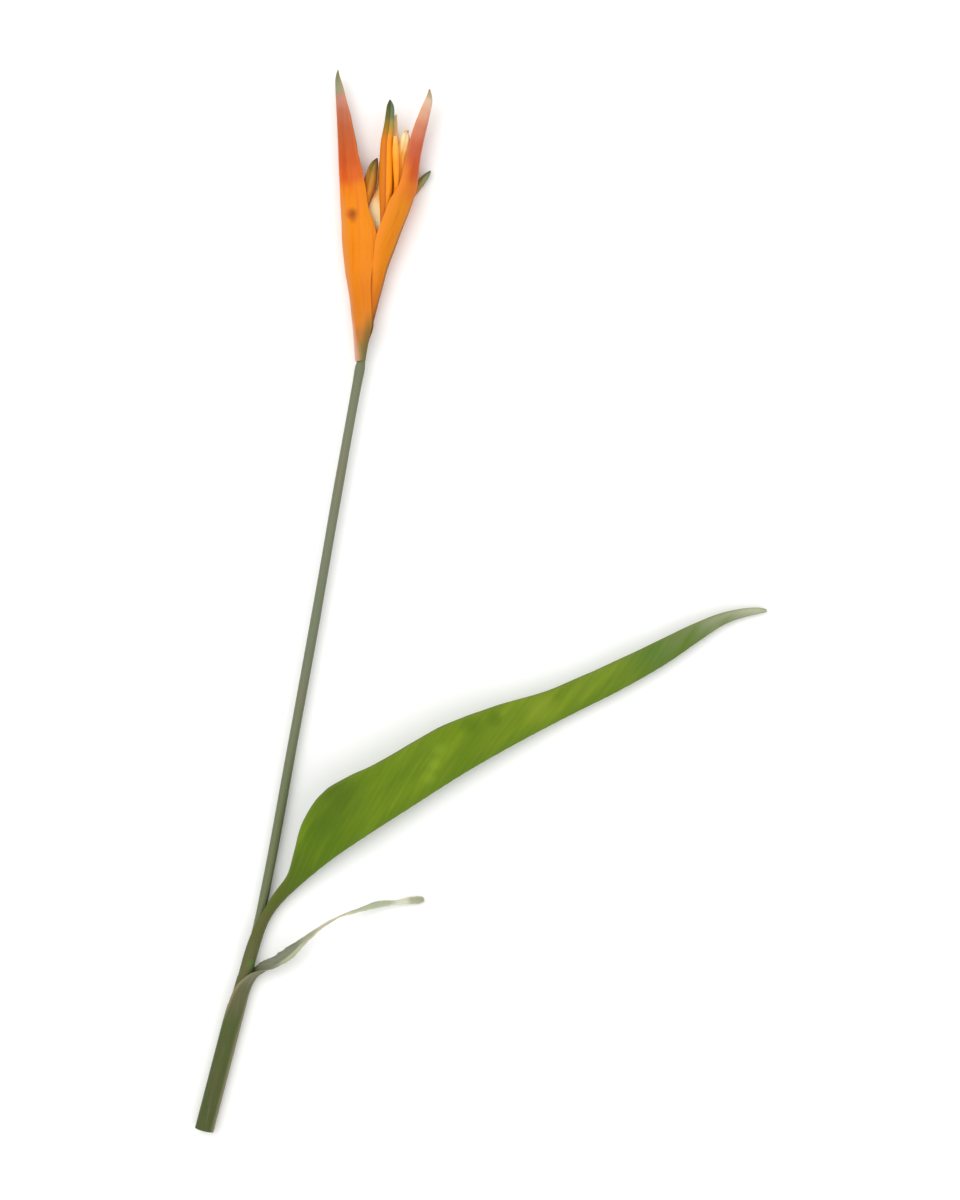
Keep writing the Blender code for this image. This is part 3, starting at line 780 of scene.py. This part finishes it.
def cut_paint():
    """Freshly cut tissue: pale green, with darker bundles and pores."""
    paint = Paint("cut_tissue")
    cells = paint.node("TexVoronoi", {"Vector": paint.place(), "Scale": 2200.0})
    pores = paint.step(cells.outputs["Distance"], 0.35, 0.15)
    grain = paint.noise(paint.place(), 900.0)
    colour = paint.mix(grain, linear(206, 210, 156), linear(176, 188, 120))
    colour = paint.layered(colour, (0.6, (112, 128, 62), pores))
    return paint.finish(colour, grain, 0.5, 0.7, [(pores, 0.05)], 0.1)


# Patches on the leaf: place, size, strength and colour. Painted shade at the blade's foot, dark ones near
# its upper margin, a bright one farther out, a bright streak across its middle, and a green one on the
# sheath.
LEAF_SPOTS_AND_SHADE = [
    # painted shade at the blade's foot
    ((51.0, 123.0, 17.0), 16.0, 0.7, (66, 92, 6)),
    ((44.0, 110.0, 15.0), 12.0, 0.5, (70, 98, 8)),
    ((46.5, 102.0, 11.0), 9.0, 0.6, (82, 110, 10)),
    ((106.0, 151.0, 14.0), 7.0, 0.6, (72, 104, 0)),
    ((116.5, 153.0, 13.0), 5.0, 0.5, (72, 100, 0)),
    ((142.0, 162.5, 9.5), 3.5, 0.5, (84, 112, 8)),
    ((136.0, 158.0, 9.0), 11.0, 0.35, (136, 154, 44)),
    ((89.5, 128.0, 14.0), 4.5, 0.3, (140, 170, 40)),
    ((91.5, 134.0, 14.5), 4.5, 0.3, (140, 170, 40)),
    ((93.5, 140.0, 15.0), 4.5, 0.25, (140, 170, 40)),
    ((15.2, 49.6, 6.6), 3.4, 0.5, (84, 140, 40)),
]


def leaf_paint():
    """The leaf: olive sheath, yellow-green blade with side veins, patches and painted shade, and a greyer
    tail.
    """
    paint = Paint("leaf")
    along, share, span, rim = paint.facts("along", "share", "span", "rim")
    slant = paint.math("MULTIPLY_ADD", span, -VEIN_SLANT, along)
    grain = fibre(paint, 0.06, 1.2)
    cloud = paint.clouds((slant, 0.045), (span, 0.05), detail=2.0)
    patch = paint.clouds((slant, 0.08), (span, 0.07), 7.0, detail=2.0)
    mottle = paint.clouds((slant, 0.16), (span, 0.12), 11.0, detail=5.0)
    fine = paint.clouds((slant, 0.9), (span, 0.06), 4.0)
    veins = paint.power(paint.lines(slant, VEIN_SPACING, patch, 9.0), 6.0)
    streak = paint.lines(span, 0.8, grain, 4.0)
    blade = paint.step(share, 0.27, 0.36)
    sheath = paint.math("SUBTRACT", 1.0, blade)
    colour = paint.ramp(share, [
        (0.0, (92, 94, 50)), (0.18, (96, 98, 60)), (0.225, (96, 98, 58)), (0.26, (92, 96, 46)),
        (0.31, (86, 100, 28)), (0.345, (82, 106, 14)), (0.38, (86, 114, 8)), (0.46, (98, 124, 10)),
        (0.56, (106, 131, 14)), (0.7, (105, 128, 16)), (0.8, (110, 132, 32)), (0.855, (92, 119, 50)),
        (0.89, (104, 121, 64)), (0.94, (144, 149, 118)), (1.0, (208, 206, 186)),
    ])
    colour = paint.layered(
        colour,
        (0.5, (80, 112, 2), blade, paint.step(cloud, 0.42, 0.68)),
        (0.28, (82, 112, 14), blade, paint.step(mottle, 0.52, 0.66)),
        (0.32, (138, 162, 22), blade, paint.step(patch, 0.46, 0.76), paint.step(share, 0.95, 0.8)),
        (0.1, (136, 154, 50), blade, veins),
        (0.12, (64, 94, 4), blade, paint.step(fine, 0.4, 0.7)),
        # painted shade: darker green along the lower edge, towards the fold
        (0.36, (82, 111, 26), blade, paint.step(span, 6.0, 1.0)),
    )
    colour = paint.layered(
        spotted(paint, colour, LEAF_SPOTS_AND_SHADE),
        (0.35, (108, 126, 60), blade, paint.step(span, 1.3, 0.4)),
        (0.35, (110, 120, 60), blade, paint.step(rim, 1.2, 0.1)),
        (0.3, (58, 62, 24), sheath, streak),
        (0.4, (118, 96, 60), sheath, paint.step(grain, 0.5, 0.8)),
    )
    reliefs = [(paint.scaled(fine, blade), 0.06), (paint.scaled(streak, sheath), 0.05), (grain, 0.04)]
    return paint.finish(colour, grain, 0.4, 0.6, reliefs, 0.04, Specular_IOR_Level=0.16)


def withered_paint():
    """The outer sheath, olive brown with streaks, and the dried strip, grey-green to pale tan."""
    paint = Paint("withered_leaf")
    along, share, across, span, rim = paint.facts("along", "share", "across", "span", "rim")
    grain = fibre(paint, 0.05, 1.3)
    coarse = paint.clouds((along, 0.06), (span, 0.35), 3.0, detail=5.0)
    streak = paint.lines(span, 0.7, grain, 4.0)
    sheath = paint.step(share, 0.5, 0.42)
    worn = paint.math("MULTIPLY_ADD", sheath, 0.7, 0.3)
    fold = paint.scaled(paint.step(share, 0.66, 0.6), paint.step(share, 0.5, 0.56))
    side = paint.math("ABSOLUTE", across)
    edges = paint.math("ADD", paint.step(side, 0.3, 0.1), paint.step(side, 0.78, 0.95))
    colour = paint.ramp(share, [
        (0.0, (74, 86, 42)), (0.3, (76, 90, 42)), (0.41, (98, 102, 70)), (0.47, (122, 122, 98)),
        (0.52, (130, 134, 112)), (0.6, (130, 134, 114)), (0.65, (168, 168, 142)), (0.7, (208, 204, 178)),
        (0.76, (206, 204, 174)), (0.81, (176, 182, 154)), (0.9, (170, 178, 150)), (0.93, (214, 216, 196)),
        (0.95, (210, 212, 190)), (0.965, (172, 175, 146)), (1.0, (162, 164, 136)),
    ])
    colour = paint.layered(
        colour,
        (0.45, (108, 88, 58), worn, paint.step(coarse, 0.48, 0.7)),
        (0.35, (62, 60, 34), worn, streak),
        (0.3, (150, 146, 108), paint.step(grain, 0.52, 0.8)),
        (0.75, (138, 132, 98), sheath, edges),
        (0.8, (186, 191, 156), paint.step(across, 0.1, 0.5), fold),
        (0.4, (206, 206, 172), paint.step(rim, 0.8, 0.2), paint.step(share, 0.6, 0.66)),
    )
    reliefs = [(streak, 0.06), (coarse, 0.1)]
    return paint.finish(colour, grain, 0.5, 0.75, reliefs, 0.03, Specular_IOR_Level=0.2)


# Pieces

def wear(piece, slot, *nodes):
    """The piece rides on the one body, and stands for the nodes, which are hidden. slot is not used."""
    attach(piece, BODY)
    if nodes:
        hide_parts(*nodes)


def round_tube(name, stations, materials, sides, spacing, reach, swell=None, cut=False, point=0.0):
    """A tube along stations of x, y, z, radius.

    swell gives the share by which its radius is changed, and point is the length of its rounded tip.
    """
    rows, along = even_rows(stations, spacing, reach)
    side, up = axes(rows[:, :3])
    angle = 2 * np.pi * np.arange(sides) / sides
    radius = np.repeat(rows[:, 3:4], sides, axis=1)
    if point:
        radius = radius * rounded_tip(along, point, 0.003)[:, None]
    if swell is not None:
        radius = radius * (1 + swell(along[:, None], angle[None]))
    rings = rows[:, None, :3] + radius[..., None] * spokes(angle, up, side)
    facts = line_facts(along, sides)
    facts["span"] = rows[:, 3:4] * np.minimum(angle, 2 * np.pi - angle)[None]
    return tube_mesh(name, rings, facts, materials, cut)


def build_stem():
    def swell(along, angle):
        return 0.018 * np.sin(9 * angle + 0.01 * along) + 0.02 * ripple(along / 60, np.cos(angle), 3)

    wear(round_tube("stem", STEM, [stem_paint(), CUT], 54, 0.8, 5, swell, cut=True), "stem", "flower_stem")


def bract_relief(veins, depth, keel_height, seed):
    """Fine lengthwise veins, a low ridge on the keel, and a slight unevenness of the whole bract."""
    def relief(along, span, share):
        ridges = depth * np.cos(2 * np.pi * veins * np.abs(share)) * ease((1 - np.abs(share)) / 0.1)
        ridge = keel_height * np.exp(-((span / 0.5) ** 2))
        return ridges + ridge + 0.1 * ripple(along / 22, span / 9, seed)

    return relief


def flared(seed, crossing, reach):
    """Margins that wander in and out a little. The upper one reaches out where another bract crosses it."""
    def ragged(along, sign):
        rise = ease(along / 20) * ease((along[-1] - along) / 12)
        more = reach * np.exp(-(((along - crossing) / CROSSING_LENGTH) ** 2)) if sign > 0 else 0.0
        return MARGIN_WANDER * rise * ripple(along / 16, 0.0 * along + sign, seed) + more

    return ragged


# Each bract's stations, the side of its keel, the shape of its sheet, and its finish.
BRACTS = {
    "bract_1": (BRACT_1, -1, {
        "columns": 40, "keel_round": 1.6, "thin": 0.42, "relief": bract_relief(15, 0.03, 0.12, 11),
        "ragged": flared(21, FIRST_CROSSING, 0.1),
    }, {
        "stops": [
            (0.0, (126, 134, 96)), (0.04, (140, 120, 72)), (0.08, (178, 116, 48)), (0.13, (208, 121, 22)),
            (0.2, (214, 119, 2)), (0.35, (226, 129, 0)), (0.5, (228, 133, 0)), (0.585, (226, 126, 0)),
            (0.635, (208, 94, 22)), (0.7, (191, 83, 28)), (0.79, (178, 88, 46)), (0.85, (178, 100, 72)),
            (0.9, (186, 126, 108)), (0.93, (142, 146, 112)), (1.0, (108, 122, 90)),
        ],
        "keel_tint": (0.95, 0.8, 0.55, (222, 144, 96)),
        "rim_tint": (0.0, 0.1, 0.2, (232, 146, 56)),
        "shades": [
            ("span", 6.0, 0.62, 0.5, 0.45, (208, 142, 84)),
            # painted shade: dark olive along the right outline of the foot
            ("rim", 4.2, 0.17, 0.1, 0.7, (102, 94, 44)),
            ("span", 4.0, 0.17, 0.1, 0.9, (222, 162, 136)),
        ],
        "spots": [
            ((57.0, 363.9, 10.3), 3.6, 0.9, (146, 68, 8)),
            ((57.4, 361.4, 10.6), 2.4, 0.5, (176, 88, 12)),
            ((55.2, 364.4, 9.2), 2.8, 0.4, (214, 92, 30)),
        ],
        "seed": 1.0,
    }),
    "bract_2": (BRACT_2, 1, {
        "columns": 36, "keel_round": 1.3, "thin": 0.45, "relief": bract_relief(12, 0.025, 0.1, 12),
        "ragged": flared(22, SECOND_CROSSING, 0.08),
    }, {
        "stops": [
            (0.0, (160, 88, 24)), (0.1, (200, 110, 10)), (0.3, (219, 128, 4)), (0.5, (216, 131, 18)),
            (0.58, (212, 115, 32)), (0.65, (194, 86, 38)), (0.76, (192, 94, 62)), (0.83, (200, 124, 96)),
            (0.9, (216, 164, 136)), (0.95, (218, 190, 162)), (0.975, (168, 170, 136)),
            (1.0, (128, 142, 108)),
        ],
        "keel_tint": (0.5, 0.75, 0.5, (216, 168, 150)),
        "rim_tint": (0.0, 0.1, 0.2, (234, 152, 56)),
        "shades": [
            # painted shade: dark along the keel side, where it is seen edge-on at the right outline
            ("span", 2.4, 0.62, 0.4, 0.85, (112, 76, 24)),
            ("rim", 4.4, 0.73, 0.64, 0.7, (232, 132, 28)),
        ],
        "seed": 2.0,
    }),
    "bract_3": (BRACT_3, -1, {
        "columns": 24, "keel_round": 0.8, "thin": 0.6, "relief": bract_relief(5, 0.02, 0.06, 13),
    }, {
        "stops": [
            (0.0, (240, 142, 18)), (0.29, (246, 166, 60)), (0.37, (255, 238, 180)), (0.48, (255, 238, 178)),
            (0.56, (250, 190, 104)), (0.64, (238, 160, 70)), (0.78, (246, 178, 96)), (0.9, (246, 206, 150)),
            (1.0, (206, 192, 146)),
        ],
        "keel_tint": (0.5, 0.8, 0.3, (250, 190, 110)),
        "rim_tint": (0.6, 0.8, 0.5, (246, 206, 150)),
        "seed": 3.0,
        "deeper": 0.06,
    }),
}


def build_bracts():
    for name, (stations, keel_side, shape, finish) in BRACTS.items():
        skin = bract_paint(name, **finish)
        wear(folded_sheet(f"{name}_shell", stations, keel_side, [skin], spacing=0.6, **shape), "bract", name)


# A petal: how far its margins lap the next ones, how far it reaches round the flower to each side, its wall,
# how far its middle stands out as a soft corner, and the length of its rounded tip.
PETAL_LAP = 0.14
PETAL_WRAP = math.radians(71.0)
PETAL_WALL = 0.32
PETAL_CORNER = 0.09
PETAL_TIP = 3.0
PETAL_COLUMNS = 18


def build_petal(name, rows, along, turn, skin, tip_open):
    """One long petal round the flower's line. One margin lies on the next petal and one is tucked under."""
    side, up = axes(rows[:, :3])
    part = np.linspace(-1.0, 1.0, 2 * PETAL_COLUMNS + 1)
    angle = turn + PETAL_WRAP * part
    share = (along / along[-1])[:, None]
    radius = rows[:, 3:4] * (1 + PETAL_CORNER * np.cos(3 * (angle - turn)) * ease(share / 0.3))
    radius = radius + PETAL_LAP * part * ease(share / 0.1) + tip_open * ease((share - 0.9) / 0.1)
    wall = PETAL_WALL * (1 - 0.45 * np.abs(part) ** 1.5) * (1 - 0.4 * ease((share - 0.7) / 0.3))
    across = spokes(angle, up, side)
    outer = rows[:, None, :3] + radius[..., None] * across
    inner = rows[:, None, :3] + np.maximum(radius - wall, 0.05)[..., None] * across
    edges = []
    for k, sign in ((0, -1), (-1, 1)):
        sideways = sign * (np.cos(angle[k]) * side - np.sin(angle[k]) * up)
        edges.append((outer[:, k] + inner[:, k]) / 2 + sideways * wall[:, k, None] / 2)
    width = PETAL_WRAP * rows[:, 3:4]
    facts = line_facts(along, len(part))
    facts["across"] = np.repeat(part[None], len(rows), axis=0)
    facts["span"] = np.abs(part) * width
    facts["rim"] = (1 - np.abs(part)) * width
    for points in (outer, inner, *edges):
        points[..., 2] = np.maximum(points[..., 2], LEAST_HEIGHT)
    return sheet_mesh(name, outer, inner, edges, facts, [skin])


FLOWER_STOPS = {
    "flower_1": [
        (0.0, (240, 142, 18)), (0.5, (238, 144, 26)), (0.66, (218, 138, 38)), (0.74, (196, 130, 42)),
        (0.83, (182, 130, 46)), (0.9, (144, 116, 46)), (1.0, (92, 90, 50)),
    ],
    "flower_2": [
        (0.0, (236, 134, 16)), (0.45, (226, 116, 18)), (0.62, (202, 112, 40)), (0.74, (172, 124, 60)),
        (0.84, (134, 142, 88)), (1.0, (112, 134, 100)),
    ],
    "flower_3": [
        (0.0, (238, 140, 12)), (0.5, (242, 147, 20)), (0.68, (240, 148, 30)), (0.745, (186, 146, 52)),
        (0.81, (148, 142, 70)), (0.86, (102, 120, 86)), (1.0, (82, 108, 94)),
    ],
    "flower_4": [
        (0.0, (240, 140, 16)), (0.5, (248, 150, 28)), (0.7, (250, 172, 64)), (0.82, (250, 210, 134)),
        (0.92, (250, 226, 170)), (1.0, (250, 234, 194)),
    ],
}
FLOWER_TURNS = {"flower_1": 0.5, "flower_2": 0.2, "flower_3": 0.85, "flower_4": 1.1}
# How far the petals' tips stand off, where a flower is open.
TIP_OPEN = {"flower_4": 0.45}
# A flower's petal with painted shade, a darker copy of its colours, and what its colours are multiplied by.
PAINTED_SHADE_PETAL = {"flower_3": "flower_3_petal_3"}
PAINTED_SHADE_FACTORS = (0.87, 0.8, 0.4)
# How far the core is inside the petals, and the least radius of a core.
CORE_INSET = 0.45
LEAST_CORE = 0.15


def build_flowers():
    ovary = ovary_paint()
    for seed, (name, (first, stations)) in enumerate(FLOWERS.items(), 5):
        stops = FLOWER_STOPS[name]
        plain = flower_paint(name, stops, seed)
        skins = {}
        # Painted shade: one petal gets a darker copy of the flower's material.
        if name in PAINTED_SHADE_PETAL:
            painted_shade_stops = [(place, tuple(c * d for c, d in zip(colour, PAINTED_SHADE_FACTORS))) for place, colour in stops]
            skins[PAINTED_SHADE_PETAL[name]] = flower_paint(f"{name}_painted_shade", painted_shade_stops, seed)
        wear(round_tube(f"{name}_ovary", stations[:first + 1], [ovary], 24, 0.5, 2), "flower")
        rows, along = even_rows(stations[first:], 0.5, 3)
        rows[:, 3] *= rounded_tip(along, PETAL_TIP, 0.02)
        for k in range(3):
            petal = f"{name}_petal_{k + 1}"
            turn = FLOWER_TURNS[name] + 2 * np.pi * k / 3
            piece = build_petal(petal, rows, along, turn, skins.get(petal, plain), TIP_OPEN.get(name, 0.0))
            wear(piece, "flower", *([name] if k == 0 else []))
        core = [(x, y, z, max(r - CORE_INSET, LEAST_CORE)) for x, y, z, r in stations[first:]]
        wear(round_tube(f"{name}_core", core, [plain], 24, 0.6, 3, point=2.0), "flower")


# The stamens' number, how far they stand from the flower's line, how deep they start below its tip, and
# their distances from there with the radius at each.
STAMENS = 5
STAMEN_OFFSET = 0.45
STAMEN_DEPTH = 6.8
STAMEN_LINE = [(0.0, 0.16), (3.0, 0.15), (5.2, 0.15), (5.8, 0.3), (7.0, 0.3), (7.8, 0.12)]


def build_open_flower():
    """The free sepal of the open flower, bent back, and its stamens."""
    skin = flower_paint("free_sepal", [
        (0.0, (248, 148, 20)), (0.5, (252, 156, 30)), (0.85, (252, 176, 66)), (1.0, (246, 196, 110)),
    ], 9.0)
    wear(folded_sheet(
        "flower_4_free_sepal", FREE_SEPAL, -1, [skin], columns=16, spacing=0.4, reach=3, keel_round=0.6,
        thin=0.55,
    ), "flower")
    stamen = stamen_paint()
    stations = FLOWERS["flower_4"][1]
    tip = np.array(stations[-1][:3])
    heading = unit(tip - np.array(stations[-3][:3]))
    for k in range(STAMENS):
        turn = 2 * math.pi * k / STAMENS
        aside = np.array([math.cos(turn), 0.0, math.sin(turn)]) * STAMEN_OFFSET
        start = tip - STAMEN_DEPTH * heading + 0.5 * aside
        line = [(*(start + heading * d + aside * d / 6.0), radius) for d, radius in STAMEN_LINE]
        wear(round_tube(f"flower_4_stamen_{k + 1}", line, [stamen], 10, 0.25, 1, point=0.4), "flower")


# Distances along the leaf, where its blade's relief starts and over what length it grows to its full height.
BLADE_START = 88.0
BLADE_RISE = 20.0

# The same for the dried strip of the withered leaf.
STRIP_START = 62.0
STRIP_RISE = 14.0

# The length of each sheath, and the share by which its margins reach past the half turn.
LEAF_SHEATH_LENGTH = 66.0
OUTER_SHEATH_LENGTH = 54.0
SHEATH_OVERLAP = 0.22


def sheath_overlap(length):
    """How far a sheath's margins reach past each other: all along it, and less towards its mouth."""
    def overlap(along):
        return SHEATH_OVERLAP * ease((length - along) / 12.0)

    return overlap


def leaf_relief(along, span, share):
    """The midrib, side veins that slant towards the tip, and the ridged sheath."""
    blade = ease((along - BLADE_START) / BLADE_RISE)
    rib = 0.35 * np.exp(-((span / 0.75) ** 2)) * blade * (1 - 0.7 * ease((along - 120) / 160))
    slant = along - VEIN_SLANT * np.abs(span)
    side_veins = 0.028 * np.cos(2 * np.pi * slant / VEIN_SPACING + 1.6 * ripple(along / 30, span / 10, 5))
    swell = 0.14 * ripple(slant / 20, span / 30, 7) * ease((np.abs(span) - 3.0) / 7.0)
    edge = ease((1 - np.abs(share)) / 0.06)
    ridges = 0.03 * np.cos(2 * np.pi * span / 0.95) * (1 - blade)
    return rib + blade * (side_veins * edge + swell) + ridges * edge


def leaf_lift(keel, signed):
    """The blade's upper margin is waved, and hangs a little."""
    wave = LEAF_WAVE
    inside = (keel[:, 1] - wave["from_y"]) / (wave["to_y"] - wave["from_y"])
    fade = np.sqrt(np.sin(np.pi * np.clip(inside, 0.0, 1.0)))
    phase = np.sin(2 * np.pi * np.hypot(keel[:, 0], keel[:, 1]) / wave["length"])
    drop = MARGIN_DROP * ease(inside / 0.1)
    return (wave["height"] * fade * phase - drop)[:, None] * np.clip(signed, 0.0, 1.0)[None] ** 2


def withered_relief(along, span, share):
    """The ridged sheath, and the lengthwise wrinkles of the dried strip."""
    strip = ease((along - STRIP_START) / STRIP_RISE)
    ridges = 0.035 * np.cos(2 * np.pi * span / 0.9) * (1 - strip)
    wrinkles = 0.1 * ripple(along / 14, span / 0.9, 9) + 0.05 * ripple(along / 5, span / 1.4, 10)
    return (ridges + strip * wrinkles) * ease((1 - np.abs(share)) / 0.1)


def withered_ragged(along, sign):
    """The uneven margins of the dried strip."""
    strip = ease((along - STRIP_START + 2.0) / STRIP_RISE)
    coarse = ripple(along / 7, 0.0 * along + sign, 31)
    return strip * (0.05 * coarse + 0.03 * ripple(along / 2.6, 0.0 * along, 32))


def build_leaves():
    wear(folded_sheet(
        "leaf_blade_and_sheath", LEAF, 1, [leaf_paint(), CUT], columns=48, spacing=0.75, reach=5,
        keel_round=1.4, thin=0.4, relief=leaf_relief, lift=leaf_lift,
        overlap=sheath_overlap(LEAF_SHEATH_LENGTH), cut=True,
    ), "leaf", "leaf")
    wear(folded_sheet(
        "withered_leaf_and_sheath", WITHERED_LEAF, 1, [withered_paint(), CUT], columns=40, spacing=0.5,
        reach=5, keel_round=0.8, thin=0.4, relief=withered_relief, ragged=withered_ragged,
        overlap=sheath_overlap(OUTER_SHEATH_LENGTH), cut=True,
    ), "withered_leaf", "withered_leaf")


# Stage. The floor's half width and the lights' places and sizes are in metres.

FLOOR_HALF = 2.5
LIGHTS = {"key": ((-0.5, 0.65, 1.65), 1.4, 15.2), "fill": ((0.9, -0.3, 1.4), 1.4, 4.5)}
SKY_STRENGTH = 0.76


def build_stage():
    paint = Paint("floor")
    grain = paint.noise(paint.place(), 30.0)
    colour = paint.mix(grain, linear(250, 250, 249), linear(253, 253, 252))
    material = paint.finish(colour, grain, 0.6, 0.7, [(grain, 0.05)])
    corners = [(x * FLOOR_HALF, y * FLOOR_HALF, 0) for x, y in ((-1, -1), (1, -1), (1, 1), (-1, 1))]
    mesh = bpy.data.meshes.new("floor")
    mesh.from_pydata(corners, [], [(0, 1, 2, 3)])
    mesh.materials.append(material)
    floor = add_object("floor", mesh)


def build_lights():
    """Square soft lights, aimed at the flower, under a white sky."""
    target = np.array([*VIEW_CENTRE, 0.0]) * MM
    for name, (place, size, power) in LIGHTS.items():
        lamp = bpy.data.lights.new(name, "AREA")
        lamp.shape = "SQUARE"
        lamp.size = size
        lamp.energy = power
        light = add_object(name, lamp)
        light.location = place
        light.rotation_euler = Vector(np.array(place) - target).to_track_quat("Z", "Y").to_euler()
    world = bpy.data.worlds.new("studio")
    world.use_nodes = True
    background = world.node_tree.nodes["Background"]
    background.inputs["Color"].default_value = (1.0, 1.0, 1.0, 1.0)
    background.inputs["Strength"].default_value = SKY_STRENGTH
    bpy.context.scene.world = world
    bpy.context.scene.view_settings.view_transform = "Standard"


def build_camera():
    data = bpy.data.cameras.new("camera")
    data.lens = LENS
    data.sensor_width = SENSOR
    camera = add_object("camera", data)
    distance = VIEW_LENGTH * LENS / SENSOR
    camera.location = np.array([*VIEW_CENTRE, distance]) * MM
    bpy.context.scene.camera = camera


CUT = cut_paint()
build_camera()
build_stage()
build_lights()
build_stem()
build_bracts()
build_flowers()
build_open_flower()
build_leaves()
